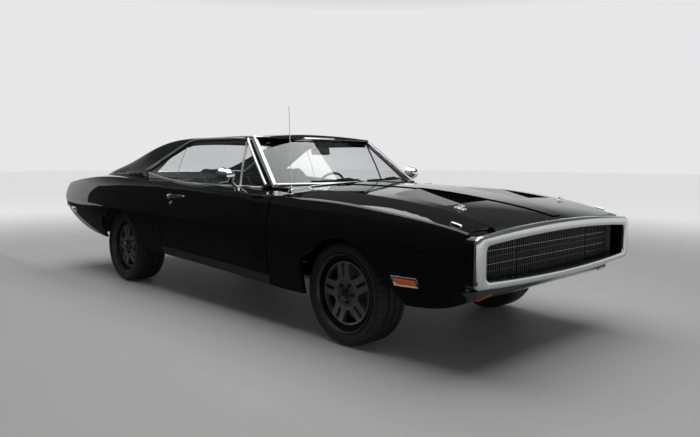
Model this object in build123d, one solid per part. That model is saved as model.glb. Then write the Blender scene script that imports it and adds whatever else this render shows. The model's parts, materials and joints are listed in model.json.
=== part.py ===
"""Two-door fastback muscle car of about 1970, as an assembly of separate named pieces.

Frame: X forward, Y to the car's left, Z up, origin on the ground under the middle of the car.
All lengths are millimetres. Pieces of the right side are mirrored to make the left side.
"""
import math
import os

from build123d import *

# Overall and axle sizes
LENGTH = 5283.0
WHEELBASE = 2972.0
FRONT_OVERHANG = 1010.0
NOSE_X = LENGTH / 2
TAIL_X = -LENGTH / 2
AXLE_F = NOSE_X - FRONT_OVERHANG
AXLE_R = AXLE_F - WHEELBASE

# Clearances
PANEL_GAP = 5.5           # shut line round a door, lid or hood
HALF_GAP = PANEL_GAP / 2
SEAT_GAP = 0.3            # between pieces that seat on each other
PIN_GAP = 0.3             # pin in its bore, on the radius
SWING_GAP = 5.0           # between a moving piece and what it passes

# Walls
SKIN = 25.0               # fenders, quarters, hood, lids
DOOR_WALL = 80.0          # whole door, skin to trim
ROOF_WALL = 40.0
GLASS = 5.0

# Panel lines
DOOR_FRONT_X = 960.0
DOOR_REAR_X = -490.0
DOOR_BOTTOM_RISE = 75.0   # door's lower edge above the sill's lower edge
DOOR_TOP_Y = 760.0        # inner edge of the door's top
PILLAR_X = 745.0          # foot of the windscreen pillar
PILLAR_Y = 797.0          # inner edge of the door's top beside the pillar
HOOD_REAR_X = 1010.0
HOOD_HALF_FRONT = 690.0
HOOD_HALF_REAR = 720.0
TRUNK_FRONT_X = -1790.0
TRUNK_REAR_X = -2528.0
TRUNK_HALF = 590.0

# Cutting blocks reach past the body by these
WIDE = 1100.0
LOW = 150.0
HIGH = 1500.0

# Lower body sections, front to rear
# columns: x, sill_y, sill_z, waist_y, waist_z, shoulder_y, shoulder_z, deck_y, deck_z, crown_z
BODY_STATIONS = (
    (2600, 872, 478, 889, 625, 872, 750, 700, 774, 797),
    (2430, 868, 372, 915, 642, 884, 792, 706, 828, 847),
    (2110, 900, 342, 942, 650, 896, 838, 712, 886, 906),
    (1640, 912, 300, 955, 660, 896, 882, 718, 930, 951),
    (1100, 905, 285, 946, 655, 888, 894, 730, 938, 966),
    (500, 900, 312, 938, 650, 884, 904, 775, 936, 975),
    (-200, 900, 338, 938, 660, 884, 922, 780, 945, 982),
    (-800, 905, 360, 950, 680, 890, 950, 785, 966, 992),
    (-1400, 912, 385, 966, 700, 895, 970, 780, 986, 1003),
    (-1900, 905, 430, 958, 715, 889, 957, 760, 976, 992),
    (-2300, 893, 525, 930, 725, 872, 924, 740, 944, 958),
    (-2600, 880, 640, 895, 735, 852, 885, 720, 904, 918),
)
SHOULDER_R = 22.0
DECK_BULGE = 2.0

# Roof sections, front to rear
# columns: x, base_y, edge_y, edge_z, crown_z
ROOF_STATIONS = (
    (1000, 799, 640, 1264, 1294),
    (400, 804, 640, 1306, 1338),
    (0, 808, 640, 1314, 1346),
    (-450, 812, 640, 1312, 1344),
    (-850, 816, 650, 1284, 1316),
    (-1300, 816, 668, 1172, 1200),
    (-1700, 808, 690, 1060, 1082),
    (-2000, 790, 705, 958, 972),
)
ROOF_BASE_Z = 880.0
ROOF_SIDE_BULGE = 14.0
ROOF_EDGE_R = 60.0

# Windscreen: outer face between two plan arcs
# columns: corner x, corner y, middle x, z
SCREEN_LOW = (816.0, 768.0, 935.0, 958.0)
SCREEN_TOP = (388.0, 620.0, 450.0, 1312.0)
SCREEN_SINK = 8.0         # glass face behind the pillars' edge

# Nose: the bumper's face bows in plan
NOSE_BOW = 36.0
NOSE_HALF = 896.0
BOW_R = (NOSE_HALF ** 2 + NOSE_BOW ** 2) / (2 * NOSE_BOW)
BUMPER_DEPTH = 65.0
BUMPER_CORNER_R = 55.0
HOOD_NOSE_DEPTH = 43.0

# Wheels
TYRE_R = 325.0
FLANGE_R = 246.0          # rim seat for the tyre's bead
SPINDLE_R = 30.0


# Shape helpers
def box(x0, x1, y0, y1, z0, z1):
    """Block between two corners."""
    return Pos((x0 + x1) / 2, (y0 + y1) / 2, (z0 + z1) / 2) * Box(x1 - x0, y1 - y0, z1 - z0)


def side_box(side, x0, x1, y0, y1, z0, z1):
    """Block at distances y0 to y1 from the car's middle, on the left (1) or right (-1)."""
    return box(x0, x1, *sorted((side * y0, side * y1)), z0, z1)


def sweep_face(face, along):
    """Solid swept from a flat face, wound so that it faces its own sweep."""
    along = Vector(*along)
    if face.normal_at().dot(along) < 0:
        face = -face
    return Solid.extrude(face, along)


def sweep_flat(points, along):
    """Solid swept from a flat polygon of 3D points, wound so that it faces its own sweep."""
    face = Face(Wire.make_polygon([Vector(*p) for p in points], close=True))
    if face.normal_at().dot(Vector(*along)) < 0:
        face = Face(Wire.make_polygon([Vector(*p) for p in reversed(points)], close=True))
    return Solid.extrude(face, Vector(*along))


def prism_y(points, y0, y1):
    """Side-view polygon of (x, z), swept from y0 to y1."""
    return sweep_flat([(x, y0, z) for x, z in points], (0, y1 - y0, 0))


def prism_z(points, z0, z1):
    """Plan polygon of (x, y), swept from z0 to z1."""
    return sweep_flat([(x, y, z0) for x, y in points], (0, 0, z1 - z0))


def rounded_prism_y(corners, y0, y1):
    """Side-view polygon swept from y0 to y1; each corner is (x, z, rounding radius)."""
    face = Face(Wire.make_polygon([Vector(x, y0, z) for x, z, _ in corners], close=True))
    for x, z, radius in corners:
        if radius:
            corner = min(face.vertices(), key=lambda v: (v.center() - Vector(x, y0, z)).length)
            face = face.fillet_2d(radius, [corner])
    return sweep_face(face, (0, y1 - y0, 0))


def rod(start, end, radius):
    """Round bar between two points."""
    start, end = Vector(*start), Vector(*end)
    return Solid.make_cylinder(radius, (end - start).length, Plane(origin=start, z_dir=end - start))


def cross_rod(axis, y0, y1, radius):
    """Round bar across the car at (x, z) axis."""
    return rod((axis[0], y0, axis[1]), (axis[0], y1, axis[1]), radius)


def flip(shape):
    """The same piece on the other side of the car."""
    return mirror(shape, about=Plane.XZ)


def upright_radius(y0, z0, y1, z1):
    """Radius of the arc that leaves (y0, z0) upright and passes through (y1, z1)."""
    dy, dz = y0 - y1, z1 - z0
    return (dy * dy + dz * dz) / (2 * dy)


def chord_circle(low, high, bulge):
    """Centre and radius of the circle through two section points that bulges outward by bulge."""
    dy, dz = low[0] - high[0], high[1] - low[1]
    chord = math.hypot(dy, dz)
    radius = (chord * chord / 4 + bulge ** 2) / (2 * bulge)
    reach = radius - bulge
    middle = ((low[0] + high[0]) / 2, (low[1] + high[1]) / 2)
    return (middle[0] - reach * dz / chord, middle[1] - reach * dy / chord), radius


def circle_meet(c0, r0, c1, r1):
    """Of the two points where circles meet, the one with the larger y."""
    dy, dz = c1[0] - c0[0], c1[1] - c0[1]
    gap = math.hypot(dy, dz)
    along = (gap * gap + r0 * r0 - r1 * r1) / (2 * gap)
    off = math.sqrt(r0 * r0 - along * along)
    middle = (c0[0] + along * dy / gap, c0[1] + along * dz / gap)
    found = [(middle[0] + s * off * dz / gap, middle[1] - s * off * dy / gap) for s in (1, -1)]
    return max(found)


def toward(centre, point, radius):
    """Point on the circle in the direction of another point."""
    dy, dz = point[0] - centre[0], point[1] - centre[1]
    gap = math.hypot(dy, dz)
    return (centre[0] + dy * radius / gap, centre[1] + dz * radius / gap)


def section_arc(x, a, b, centre, radius):
    """Arc of a known circle in the plane at x, from (y, z) a to b."""
    middle = toward(centre, ((a[0] + b[0]) / 2, (a[1] + b[1]) / 2), radius)
    return Edge.make_three_point_arc(Vector(x, *a), Vector(x, *middle), Vector(x, *b))


def half_to_wire(x, right, crown):
    """Closed section from one half, a list of (start, end, centre, radius), and the crown's height."""
    first, last = right[0][0], right[-1][1]
    mirrored = [((-b[0], b[1]), (-a[0], a[1]), (-c[0], c[1]), r) for a, b, c, r in reversed(right)]
    top = [Vector(x, *last), Vector(x, 0, crown), Vector(x, -last[0], last[1])]
    edges = [Edge.make_line(Vector(x, -first[0], first[1]), Vector(x, *first))]
    edges += [section_arc(x, *piece) for piece in right]
    edges.append(Edge.make_three_point_arc(*top))
    edges += [section_arc(x, *piece) for piece in mirrored]
    return Wire(edges)


def body_section(row, inset=0.0, drop=0.0):
    """Section of the lower body, moved in by inset; drop lengthens it below the sill."""
    x, sill_y, sill_z, waist_y, waist_z, shoulder_y, shoulder_z, deck_y, deck_z, crown_z = row
    low_r = upright_radius(waist_y, waist_z, sill_y, sill_z)
    up_r = upright_radius(waist_y, waist_z, shoulder_y, shoulder_z)
    low_c, up_c = (waist_y - low_r, waist_z), (waist_y - up_r, waist_z)
    deck_c, deck_r = chord_circle((shoulder_y, shoulder_z), (deck_y, deck_z), DECK_BULGE)
    rise = crown_z - deck_z
    crown_r = (deck_y ** 2 + rise ** 2) / (2 * rise)
    crown_c = (0, crown_z - crown_r)
    low_r, up_r, deck_r, crown_r = (r - inset for r in (low_r, up_r, deck_r, crown_r))
    round_r = max(SHOULDER_R - inset, 6.0)
    round_c = circle_meet(up_c, up_r - round_r, deck_c, deck_r - round_r)
    t1, t2 = toward(up_c, round_c, up_r), toward(deck_c, round_c, deck_r)
    deck = circle_meet(deck_c, deck_r, crown_c, crown_r)
    foot_z = sill_z - drop
    foot = (low_c[0] + math.sqrt(low_r ** 2 - (foot_z - waist_z) ** 2), foot_z)
    waist = (waist_y - inset, waist_z)
    right = [(foot, waist, low_c, low_r), (waist, t1, up_c, up_r), (t1, t2, round_c, round_r),
             (t2, deck, deck_c, deck_r)]
    return half_to_wire(x, right, crown_z - inset)


def roof_section(row, inset=0.0, drop=0.0):
    """Section of the roof and its pillars, moved in by inset."""
    x, base_y, edge_y, edge_z, crown_z = row
    side_c, side_r = chord_circle((base_y, ROOF_BASE_Z), (edge_y, edge_z), ROOF_SIDE_BULGE)
    rise = crown_z - edge_z
    crown_r = (edge_y ** 2 + rise ** 2) / (2 * rise)
    crown_c = (0, crown_z - crown_r)
    side_r, crown_r = side_r - inset, crown_r - inset
    round_r = max(ROOF_EDGE_R - inset, 15.0)
    round_c = circle_meet(side_c, side_r - round_r, crown_c, crown_r - round_r)
    t1, t2 = toward(side_c, round_c, side_r), toward(crown_c, round_c, crown_r)
    foot_z = ROOF_BASE_Z - drop
    foot = (side_c[0] + math.sqrt(side_r ** 2 - (foot_z - side_c[1]) ** 2), foot_z)
    return half_to_wire(x, [(foot, t1, side_c, side_r), (t1, t2, round_c, round_r)], crown_z - inset)


def body_loft(inset=0.0, drop=0.0):
    """Lower body moved in by inset."""
    return Solid.make_loft([body_section(row, inset, drop) for row in BODY_STATIONS])


def roof_loft(inset=0.0, drop=0.0):
    """Roof moved in by inset."""
    return Solid.make_loft([roof_section(row, inset, drop) for row in ROOF_STATIONS])


def bowed_face(middle_x, radius, half, back_x, z):
    """Plan face across the car: an arc at the front or rear, straight sides, straight back."""
    sign = 1 if middle_x > back_x else -1
    end_x = middle_x - sign * (radius - math.sqrt(radius ** 2 - half ** 2))
    ends = [Vector(end_x, -half, z), Vector(middle_x, 0, z), Vector(end_x, half, z)]
    back = [Vector(back_x, half, z), Vector(back_x, -half, z)]
    return Face(Wire([
        Edge.make_three_point_arc(*ends),
        Edge.make_line(ends[2], back[0]),
        Edge.make_line(back[0], back[1]),
        Edge.make_line(back[1], ends[0]),
    ]))


def bowed_block(middle_x, radius, back_x, z0, z1):
    """Block across the car, wider than the body, with a bowed front or rear face."""
    return sweep_face(bowed_face(middle_x, radius, WIDE - 50, back_x, z0), (0, 0, z1 - z0))


def nose_drum(depth, z0=-100.0, z1=HIGH):
    """Everything behind the bowed nose face, depth behind it."""
    return bowed_block(NOSE_X - depth, BOW_R - depth, 500.0, z0, z1)


def nose_block(depth, half, corner_r, z0, z1):
    """Block behind the bowed nose face with rounded front corners in plan."""
    face = bowed_face(NOSE_X - depth, BOW_R - depth, half, AXLE_F, z0)
    corners = sorted(face.vertices(), key=lambda v: -v.X)[:2]
    return sweep_face(face.fillet_2d(corner_r, corners), (0, 0, z1 - z0))


def screen_front(shift):
    """Everything ahead of the windscreen's outer face moved by shift along X."""
    wires = []
    for t in (-0.45, 1.4):
        corner_x, corner_y, middle_x, z = (a + (b - a) * t for a, b in zip(SCREEN_LOW, SCREEN_TOP))
        bow = middle_x - corner_x
        radius = (corner_y ** 2 + bow ** 2) / (2 * bow)
        wires.append(bowed_face(middle_x + shift, radius, NOSE_HALF + 64, 2200, z).outer_wire())
    return Solid.make_loft(wires, True)


PIECES = {}


def keep(name, *solids):
    """Hold a piece for export, flattened to its solids."""
    found = []
    for item in solids:
        found += item.solids()
    PIECES[name] = Compound(children=found) if len(found) > 1 else found[0]


def keep_pair(name, shape):
    """Hold the right-hand piece and its mirror as two pieces."""
    keep(name + "_right", shape)
    keep(name + "_left", flip(shape))


# Whole skins that the panels are cut from
OUTER = body_loft()
INNER = body_loft(SKIN, 60)
SEATED = body_loft(SKIN + SEAT_GAP, 60)
UNDER = body_loft(SKIN + SWING_GAP + 1, 60)
ROOF_OUTER = roof_loft()
SHELL = OUTER - INNER
THICK_SHELL = OUTER - body_loft(DOOR_WALL, 60)


# Wheel openings in side view
# columns: x, z, rounding radius
ARCH_F = ((1318, LOW, 0), (1312, 518, 100), (1771, 772, 380), (2336, LOW, 0))
ARCH_R = ((-1556, LOW, 0), (-1604, 567, 110), (-1161, 808, 430), (-612, LOW, 0))


def arch(corners):
    """Wheel opening through the right-hand side."""
    return rounded_prism_y(corners, -WIDE, -NOSE_HALF / 2)


# Doors
HINGE_X = DOOR_FRONT_X - 25.0
HINGE_Y = 921.0
HINGE_ZONES = ((480.0, 550.0), (690.0, 760.0))     # lower and upper pocket, from z to z
HINGE_PIN_R = 4.5
HINGE_BARREL_R = 8.0
HINGE_HALF = 28.0                                  # half the height of a hinge's barrel
WAIST_MAX = 945.0                                  # widest point at the door's front edge
HINGE_SWEEP_R = math.hypot(DOOR_FRONT_X - HINGE_X, WAIST_MAX - HINGE_Y) + SWING_GAP
GLASS_FOOT_Z = 915.0
GLASS_SLOT_Z = 900.0
GLASS_SINK = 8.0                                   # side glass inside the roof's side surface

# Simulated vents at the door's front edge, deepest at the front
# columns: x rear, x front, z low, z high
SCOOPS = ((750, 916, 692, 838), (772, 916, 466, 612))
SCOOP_ANGLE = 4.5

# Side window outline in side view, columns: x, z
WINDOW = ((735, 930), (735, 952), (352, 1288), (-395, 1288), (-1045, 1024), (-1000, 1000), (-1000, 930))


def window_prism(grow, x0, x1):
    """Window outline swept through the right-hand side, grown outward, between two x."""
    outline = Wire.make_polygon([Vector(x, -WIDE, z) for x, z in WINDOW], close=True)
    if grow:
        outline = outline.offset_2d(grow, kind=Kind.INTERSECTION)
    return sweep_face(Face(outline), (0, WIDE / 2, 0)) & box(x0, x1, -WIDE, 0, ROOF_BASE_Z, HIGH)


def glass_band(near, far):
    """Band between two depths inside the roof's side surface."""
    return roof_loft(near) - roof_loft(far, 20)


GLASS_GROOVE = glass_band(GLASS_SINK - 1, GLASS_SINK + GLASS + 2)


def sill_region(offset):
    """Everything above the sill line raised by offset, right-hand side."""
    points = [(row[0], row[2] + offset) for row in BODY_STATIONS]
    return prism_y(points + [(points[-1][0], HIGH), (points[0][0], HIGH)], -WIDE, 0)


def scoop_cut(x0, x1, z0, z1):
    """Pocket whose floor leaves the skin at x0 and is deepest at x1."""
    swung = OUTER.rotate(Axis((x0, -HINGE_Y, 0), (0, 0, 1)), SCOOP_ANGLE)
    return box(x0, x1, -WIDE, -PILLAR_Y, z0, z1) - swung


def make_door():
    plan = [(DOOR_REAR_X, -WIDE), (DOOR_FRONT_X, -WIDE), (DOOR_FRONT_X, -PILLAR_Y), (PILLAR_X, -PILLAR_Y),
            (PILLAR_X, -DOOR_TOP_Y), (DOOR_REAR_X, -DOOR_TOP_Y)]
    door = THICK_SHELL & prism_z(plan, LOW, HIGH) & sill_region(DOOR_BOTTOM_RISE)
    door -= GLASS_GROOVE & box(DOOR_REAR_X, PILLAR_X + 15, -WIDE, 0, GLASS_SLOT_Z, HIGH)
    for scoop in SCOOPS:
        door -= scoop_cut(*scoop)
    pocket_y = HINGE_Y + HINGE_BARREL_R + 1.5
    for z0, z1 in HINGE_ZONES:
        door -= box(HINGE_X - 16, DOOR_FRONT_X + 5, -pocket_y, -PILLAR_Y, z0, z1)
        door += rod((HINGE_X, -HINGE_Y, z0 - 4), (HINGE_X, -HINGE_Y, z1 + 4), HINGE_PIN_R)
    return door


def make_side_glass(x0, x1, clear):
    """Pane inside the window outline, clear of its edge, with its foot in the door or quarter."""
    pane = glass_band(GLASS_SINK, GLASS_SINK + GLASS) & window_prism(-clear, x0, x1)
    return pane & box(x0, x1, -WIDE, 0, GLASS_FOOT_Z, HIGH)


MIRROR_AT = (606.0, -1000.0, 1020.0)
MIRROR_FOOT = (520.0, -850.0)


def make_mirror():
    """Round door mirror: domed back, flat face to the rear, on a slanted stalk."""
    x, y, z = MIRROR_AT
    head = Solid.make_cone(52, 60, 46, Plane(origin=MIRROR_AT, z_dir=(-1, 0, 0)))
    head = head + Pos(*MIRROR_AT) * Sphere(52) & box(x - 46, x + 94, y - 100, y + 100, z - 100, z + 100)
    stalk = rod((*MIRROR_FOOT, 922), (x - 16, y + 15, z - 15), 11)
    foot = rod((*MIRROR_FOOT, 880), (*MIRROR_FOOT, 934), 26)
    return head + stalk + foot - OUTER


quarter_glass = make_side_glass(-1100, DOOR_REAR_X - 4, 0.5)
keep_pair("door", make_door())
keep_pair("door_glass", make_side_glass(DOOR_REAR_X + 2, 800, 6.0))
keep_pair("mirror", make_mirror())

# Front fenders, with the seam of the lower front panel as (x, z)
VALANCE_SEAM = ((2262, LOW), (2300, 432), (2660, 490), (2700, 490), (2700, LOW))


def make_fender():
    rear_x = DOOR_FRONT_X + PANEL_GAP
    rear_y, front_y = -HOOD_HALF_REAR - HALF_GAP, -HOOD_HALF_FRONT - HALF_GAP
    plan = [(rear_x, -WIDE), (NOSE_X, -WIDE), (NOSE_X, front_y), (HOOD_REAR_X, rear_y), (rear_x, rear_y)]
    fender = SHELL & prism_z(plan, LOW, HIGH) & nose_drum(BUMPER_DEPTH + SEAT_GAP)
    fender -= arch(ARCH_F)
    fender -= rod((HINGE_X, -HINGE_Y, LOW), (HINGE_X, -HINGE_Y, HIGH), HINGE_SWEEP_R)
    return fender - prism_y(VALANCE_SEAM, -WIDE, 0)


fender = make_fender()
keep("front_fenders", fender, flip(fender))

# Hood: hinged at the rear, raised middle, a recess each side that is deepest at its front
HOOD_AXIS = (1024.0, 926.0)                        # x, z
HOOD_PIN_R = 4.5
HOOD_HINGE_Y = (606.0, 634.0)                      # barrel from y to y
HOOD_BARREL_R = 8.0
RIDGE_RISE = 6.0
RIDGE_PLAN = ((HOOD_REAR_X, 300), (1911, 176), (2178, 150), (NOSE_X, 30))
RECESS_PLAN = ((1660, 182), (2195, 152), (2195, 600), (1660, 600))
RECESS_FLOOR = ((1660, 950), (2195, 858))          # x, z along the floor
RECESS_WALL = 18.0


def recess(pad):
    """Wedge sunk into the right half of the hood, grown all round by pad."""
    (x0, y0), (x1, y1), (_, y2), _ = RECESS_PLAN
    plan = [(x0 - pad, pad - y0), (x1 + pad, pad - y1), (x1 + pad, -y2 - pad), (x0 - pad, -y2 - pad)]
    (fx0, fz0), (fx1, fz1) = RECESS_FLOOR
    slope = (fz1 - fz0) / (fx1 - fx0)
    floor = [(fx0 - pad, fz0 - pad - slope * pad), (fx1 + pad, fz1 - pad + slope * pad)]
    wall = floor + [(fx1 + pad, HIGH), (fx0 - pad, HIGH)]
    return prism_z(plan, LOW, HIGH) & prism_y(wall, -WIDE, 0)


def make_hood():
    rear_y, front_y = HOOD_HALF_REAR - HALF_GAP, HOOD_HALF_FRONT - HALF_GAP
    plan = [(HOOD_REAR_X, rear_y), (NOSE_X, front_y), (NOSE_X, -front_y), (HOOD_REAR_X, -rear_y)]
    hood = SHELL & prism_z(plan, LOW, HIGH)
    ridge_plan = list(RIDGE_PLAN) + [(x, -y) for x, y in reversed(RIDGE_PLAN)]
    hood += (Pos(0, 0, RIDGE_RISE) * OUTER - INNER) & prism_z(ridge_plan, AXLE_F / 2, HIGH)
    hood = hood & nose_drum(HOOD_NOSE_DEPTH)
    thick, sunk = recess(RECESS_WALL) & OUTER, recess(0.0)
    for shape in (thick, flip(thick)):
        hood += shape
    for shape in (sunk, flip(sunk)):
        hood -= shape
    y0, y1 = HOOD_HINGE_Y
    for side in (-1, 1):
        hood -= side_box(side, HOOD_REAR_X - 6, HOOD_AXIS[0] + 13, y0 - 6, y1 + 6, LOW, HOOD_AXIS[1] + 12)
        hood += cross_rod(HOOD_AXIS, side * (y0 - 10), side * (y1 + 10), HOOD_PIN_R)
    return hood


keep("hood", make_hood())

# Cowl, firewall, hinge posts and hinge brackets
FIREWALL_X = (985.0, 1004.0)
COWL_TOP = 884.0
COWL_FRONT_X = 962.0
COWL_HALF = 789.0
DASH_X = 765.0                                     # front face of the dashboard
FLOOR_Z = (330.0, 352.0)
POST_X = (982.0, 1064.0)
POST_Y = (745.0, 862.0)


def make_cowl():
    cowl = box(*FIREWALL_X, -752, 752, FLOOR_Z[0] + 1 + SEAT_GAP, COWL_TOP)
    cowl += box(800, FIREWALL_X[1], -752, 752, COWL_TOP - 22, COWL_TOP)
    base = OUTER & box(DASH_X, COWL_FRONT_X - 2, -COWL_HALF, COWL_HALF, COWL_TOP - 22, HIGH)
    cowl += base - screen_front(14)
    for side in (-1, 1):
        cowl += side_box(side, *POST_X, *POST_Y, FLOOR_Z[1] + SEAT_GAP, COWL_TOP) & SEATED
        for z0, z1 in HINGE_ZONES:
            low, high = (z0 + z1) / 2 - HINGE_HALF, (z0 + z1) / 2 + HINGE_HALF
            axis_y = side * HINGE_Y
            hinge = side_box(side, HINGE_X - 8, POST_X[0] + 8, 828, 848, low, high)
            hinge += side_box(side, HINGE_X - 8, HINGE_X + 8, 840, HINGE_Y, low, high)
            hinge += rod((HINGE_X, axis_y, low), (HINGE_X, axis_y, high), HINGE_BARREL_R)
            hinge -= rod((HINGE_X, axis_y, low - 5), (HINGE_X, axis_y, high + 5), HINGE_PIN_R + PIN_GAP)
            cowl += hinge
        bracket = side_box(side, FIREWALL_X[0], HOOD_AXIS[0] + 8, *HOOD_HINGE_Y, COWL_TOP - 20, COWL_TOP + 12)
        bracket += side_box(side, HOOD_AXIS[0] - 8, HOOD_AXIS[0] + 8, *HOOD_HINGE_Y, COWL_TOP, HOOD_AXIS[1])
        y0, y1 = (side * y for y in HOOD_HINGE_Y)
        bracket += cross_rod(HOOD_AXIS, y0, y1, HOOD_BARREL_R)
        cowl += bracket - cross_rod(HOOD_AXIS, y0 - side * 5, y1 + side * 5, HOOD_PIN_R + PIN_GAP)
    return cowl


keep("cowl", make_cowl())

# Roof with front pillars, and the long rear sails beside the sunken rear window
SAIL_PLAN = ((-700, 560), (-2100, 640))            # x and half width of the hollow between the sails
REAR_GLASS_HALF = 520.0
# columns: x, z down the slope behind the roof's rear edge
SAIL_SLOPE = ((-735, 1336), (-1400, 985))
REAR_GLASS_TOP = (-800.0, 1296.0)
REAR_GLASS_FOOT = (-1338.0, 1012.5)


def sail_hollow(pad, sink):
    """Hollow between the sails above the rear window."""
    (x0, y0), (x1, y1) = SAIL_PLAN
    plan = prism_z([(x0, -y0 - pad), (x0, y0 + pad), (x1, y1 + pad), (x1, -y1 - pad)], ROOF_BASE_Z - 80, HIGH)
    (sx0, sz0), (sx1, sz1) = SAIL_SLOPE
    slope = [(sx0, HIGH), (sx0, sz0 - sink), (sx1, sz1 - sink), (sx1, LOW), (x1, LOW), (x1, HIGH)]
    return plan & prism_y(slope, -WIDE, WIDE)


def make_roof():
    roof = ROOF_OUTER - roof_loft(ROOF_WALL, 60)
    roof += ROOF_OUTER & sail_hollow(20, 30)
    roof -= sail_hollow(0, 0)
    roof -= OUTER
    roof -= screen_front(0)
    opening = window_prism(0, -1200, 900)
    roof -= opening
    roof -= flip(opening)
    lifted = Pos(0, 0, SWING_GAP + 1) * OUTER
    for side in (-1, 1):
        roof -= lifted & side_box(side, DOOR_REAR_X - 5, PILLAR_X + 5, 745, 900, 850, WIDE)
    (x0, z0), (x1, z1) = REAR_GLASS_TOP, REAR_GLASS_FOOT
    roof -= prism_y([(x0, z0 + 49), (x0, z0 - 46), (x1 - 7, z1 - 52), (x1 - 7, z1 + 48)],
                    -REAR_GLASS_HALF, REAR_GLASS_HALF)
    return max(roof.solids(), key=lambda s: s.volume)


def make_rear_window():
    (x0, z0), (x1, z1) = REAR_GLASS_TOP, REAR_GLASS_FOOT
    x0, half = x0 - SEAT_GAP, REAR_GLASS_HALF - SEAT_GAP
    return prism_y([(x0, z0), (x0, z0 - GLASS - 1), (x1, z1 - GLASS - 1), (x1, z1)], -half, half)


def make_windshield():
    screen = screen_front(-SCREEN_SINK - GLASS - 1) - screen_front(-SCREEN_SINK)
    screen = (screen & roof_loft(ROOF_WALL + SEAT_GAP)) - OUTER
    return max(screen.solids(), key=lambda s: s.volume)


keep("roof", make_roof())
keep("rear_window", make_rear_window())
keep("windshield", make_windshield())

# Quarters, deck, trunk lid and tail
DECK_FRONT_X = -1250.0
# columns: x, z down the tail's face
TAIL_PROFILE = ((-2525, 1100), (-2540, 900), (-2590, 740), (-2545, 660), (-2400, 540), (-2400, 300))


def tail_keep(shift):
    """Everything ahead of the tail's face moved by shift along X."""
    return prism_y([(x + shift, z) for x, z in TAIL_PROFILE] + [(0, 300), (0, 1100)], -WIDE, WIDE)


def make_quarter():
    front_x = DOOR_REAR_X - PANEL_GAP
    lid_y = -TRUNK_HALF - HALF_GAP
    plan = [(front_x, -WIDE), (TAIL_X, -WIDE), (TAIL_X, lid_y), (DECK_FRONT_X, lid_y),
            (DECK_FRONT_X, -DOOR_TOP_Y), (front_x, -DOOR_TOP_Y)]
    quarter = SHELL & prism_z(plan, LOW, HIGH)
    quarter += THICK_SHELL & box(DOOR_REAR_X - 70, front_x, -WIDE, -DOOR_TOP_Y, LOW, HIGH)
    quarter = quarter & tail_keep(0)
    quarter -= arch(ARCH_R)
    return quarter - (GLASS_GROOVE & box(-1100, DOOR_REAR_X - 4, -WIDE, 0, GLASS_SLOT_Z, HIGH))


quarter = make_quarter()
keep("quarter_panels", quarter, flip(quarter))
keep("quarter_glass", quarter_glass, flip(quarter_glass))

LID_AXIS = (-1804.0, 964.0)                        # x, z
LID_PIN_R = 5.0
LID_BARREL_R = 9.0
LID_HINGE_Y = (530.0, 574.0)                       # pocket from y to y
LID_SWEEP_R = 36.0
LID_ARM_Z = (893.0, 908.0)
LID_POST_X = (-1740.0, -1700.0)


def make_lid_and_deck():
    lid = SHELL & box(TRUNK_REAR_X + 4, TRUNK_FRONT_X, -TRUNK_HALF + HALF_GAP, TRUNK_HALF - HALF_GAP, 700, HIGH)
    half = TRUNK_HALF + HALF_GAP - SEAT_GAP
    deck = SHELL & box(TRUNK_FRONT_X + PANEL_GAP, DECK_FRONT_X, -half, half, 700, HIGH)
    deck -= cross_rod(LID_AXIS, -WIDE, WIDE, LID_SWEEP_R)
    x, z = LID_AXIS
    y0, y1 = LID_HINGE_Y
    for side in (-1, 1):
        lid -= side_box(side, x - 13, TRUNK_FRONT_X + 5, y0, y1, 880, z + 10.5)
        lid += cross_rod(LID_AXIS, side * (y0 - 6), side * (y1 + 6), LID_PIN_R)
        arm = side_box(side, x - 7, x + 7, y0 + 5, y1 - 5, LID_ARM_Z[0], z)
        arm += cross_rod(LID_AXIS, side * (y0 + 5), side * (y1 - 5), LID_BARREL_R)
        arm += side_box(side, x - 7, LID_POST_X[1], y0 + 5, y1 - 5, *LID_ARM_Z)
        arm += side_box(side, *LID_POST_X, y0 + 5, y1 - 5, LID_ARM_Z[0], z + 11) & INNER
        deck += arm
        deck -= cross_rod(LID_AXIS, side * y0, side * y1, LID_PIN_R + PIN_GAP)
    return lid, deck


lid, deck = make_lid_and_deck()
keep("trunk_lid", lid)
keep("rear_deck", deck)

TAIL_WALL = 25.0
TAIL_LAMP_Y = (175.0, 790.0)
TAIL_LAMP_Z = (772.0, 862.0)
TAIL_LAMP_SINK = 12.0
TAIL_LAMP_PROUD = 6.0


def make_tail():
    """Tail panel and its two wide lamps."""
    tail = (tail_keep(0) - tail_keep(TAIL_WALL)) & SEATED & box(TAIL_X, -2300, -WIDE, WIDE, 545, 1000)
    tail -= box(TRUNK_REAR_X - 3, -2400, -TRUNK_HALF - 8, TRUNK_HALF + 8, 868, HIGH)
    lamps = []
    for side in (-1, 1):
        zone = side_box(side, TAIL_X, -2400, *TAIL_LAMP_Y, *TAIL_LAMP_Z)
        lamps.append((tail_keep(-TAIL_LAMP_PROUD) - tail_keep(TAIL_LAMP_SINK)) & zone)
        tail -= zone - tail_keep(TAIL_LAMP_SINK + SEAT_GAP)
    return tail, lamps


tail, tail_lamps = make_tail()
keep("tail_lamps", *tail_lamps)
keep("tail_panel", tail)

REAR_BOW_R = 8000.0
REAR_BAR_DEPTH = 95.0
REAR_BAR_Z = (644.0, 736.0)
REAR_BAR_HALF = 885.0


def make_rear_bumper():
    bar = bowed_block(TAIL_X, REAR_BOW_R, -2000, *REAR_BAR_Z)
    bar -= bowed_block(TAIL_X + REAR_BAR_DEPTH, REAR_BOW_R - REAR_BAR_DEPTH, -1900, LOW, HIGH)
    bar = bar & box(TAIL_X, -2400, -REAR_BAR_HALF, REAR_BAR_HALF, LOW, HIGH)
    bar -= OUTER & tail_keep(-SEAT_GAP)
    return max(bar.solids(), key=lambda s: s.volume)


keep("rear_bumper", make_rear_bumper())

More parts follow.
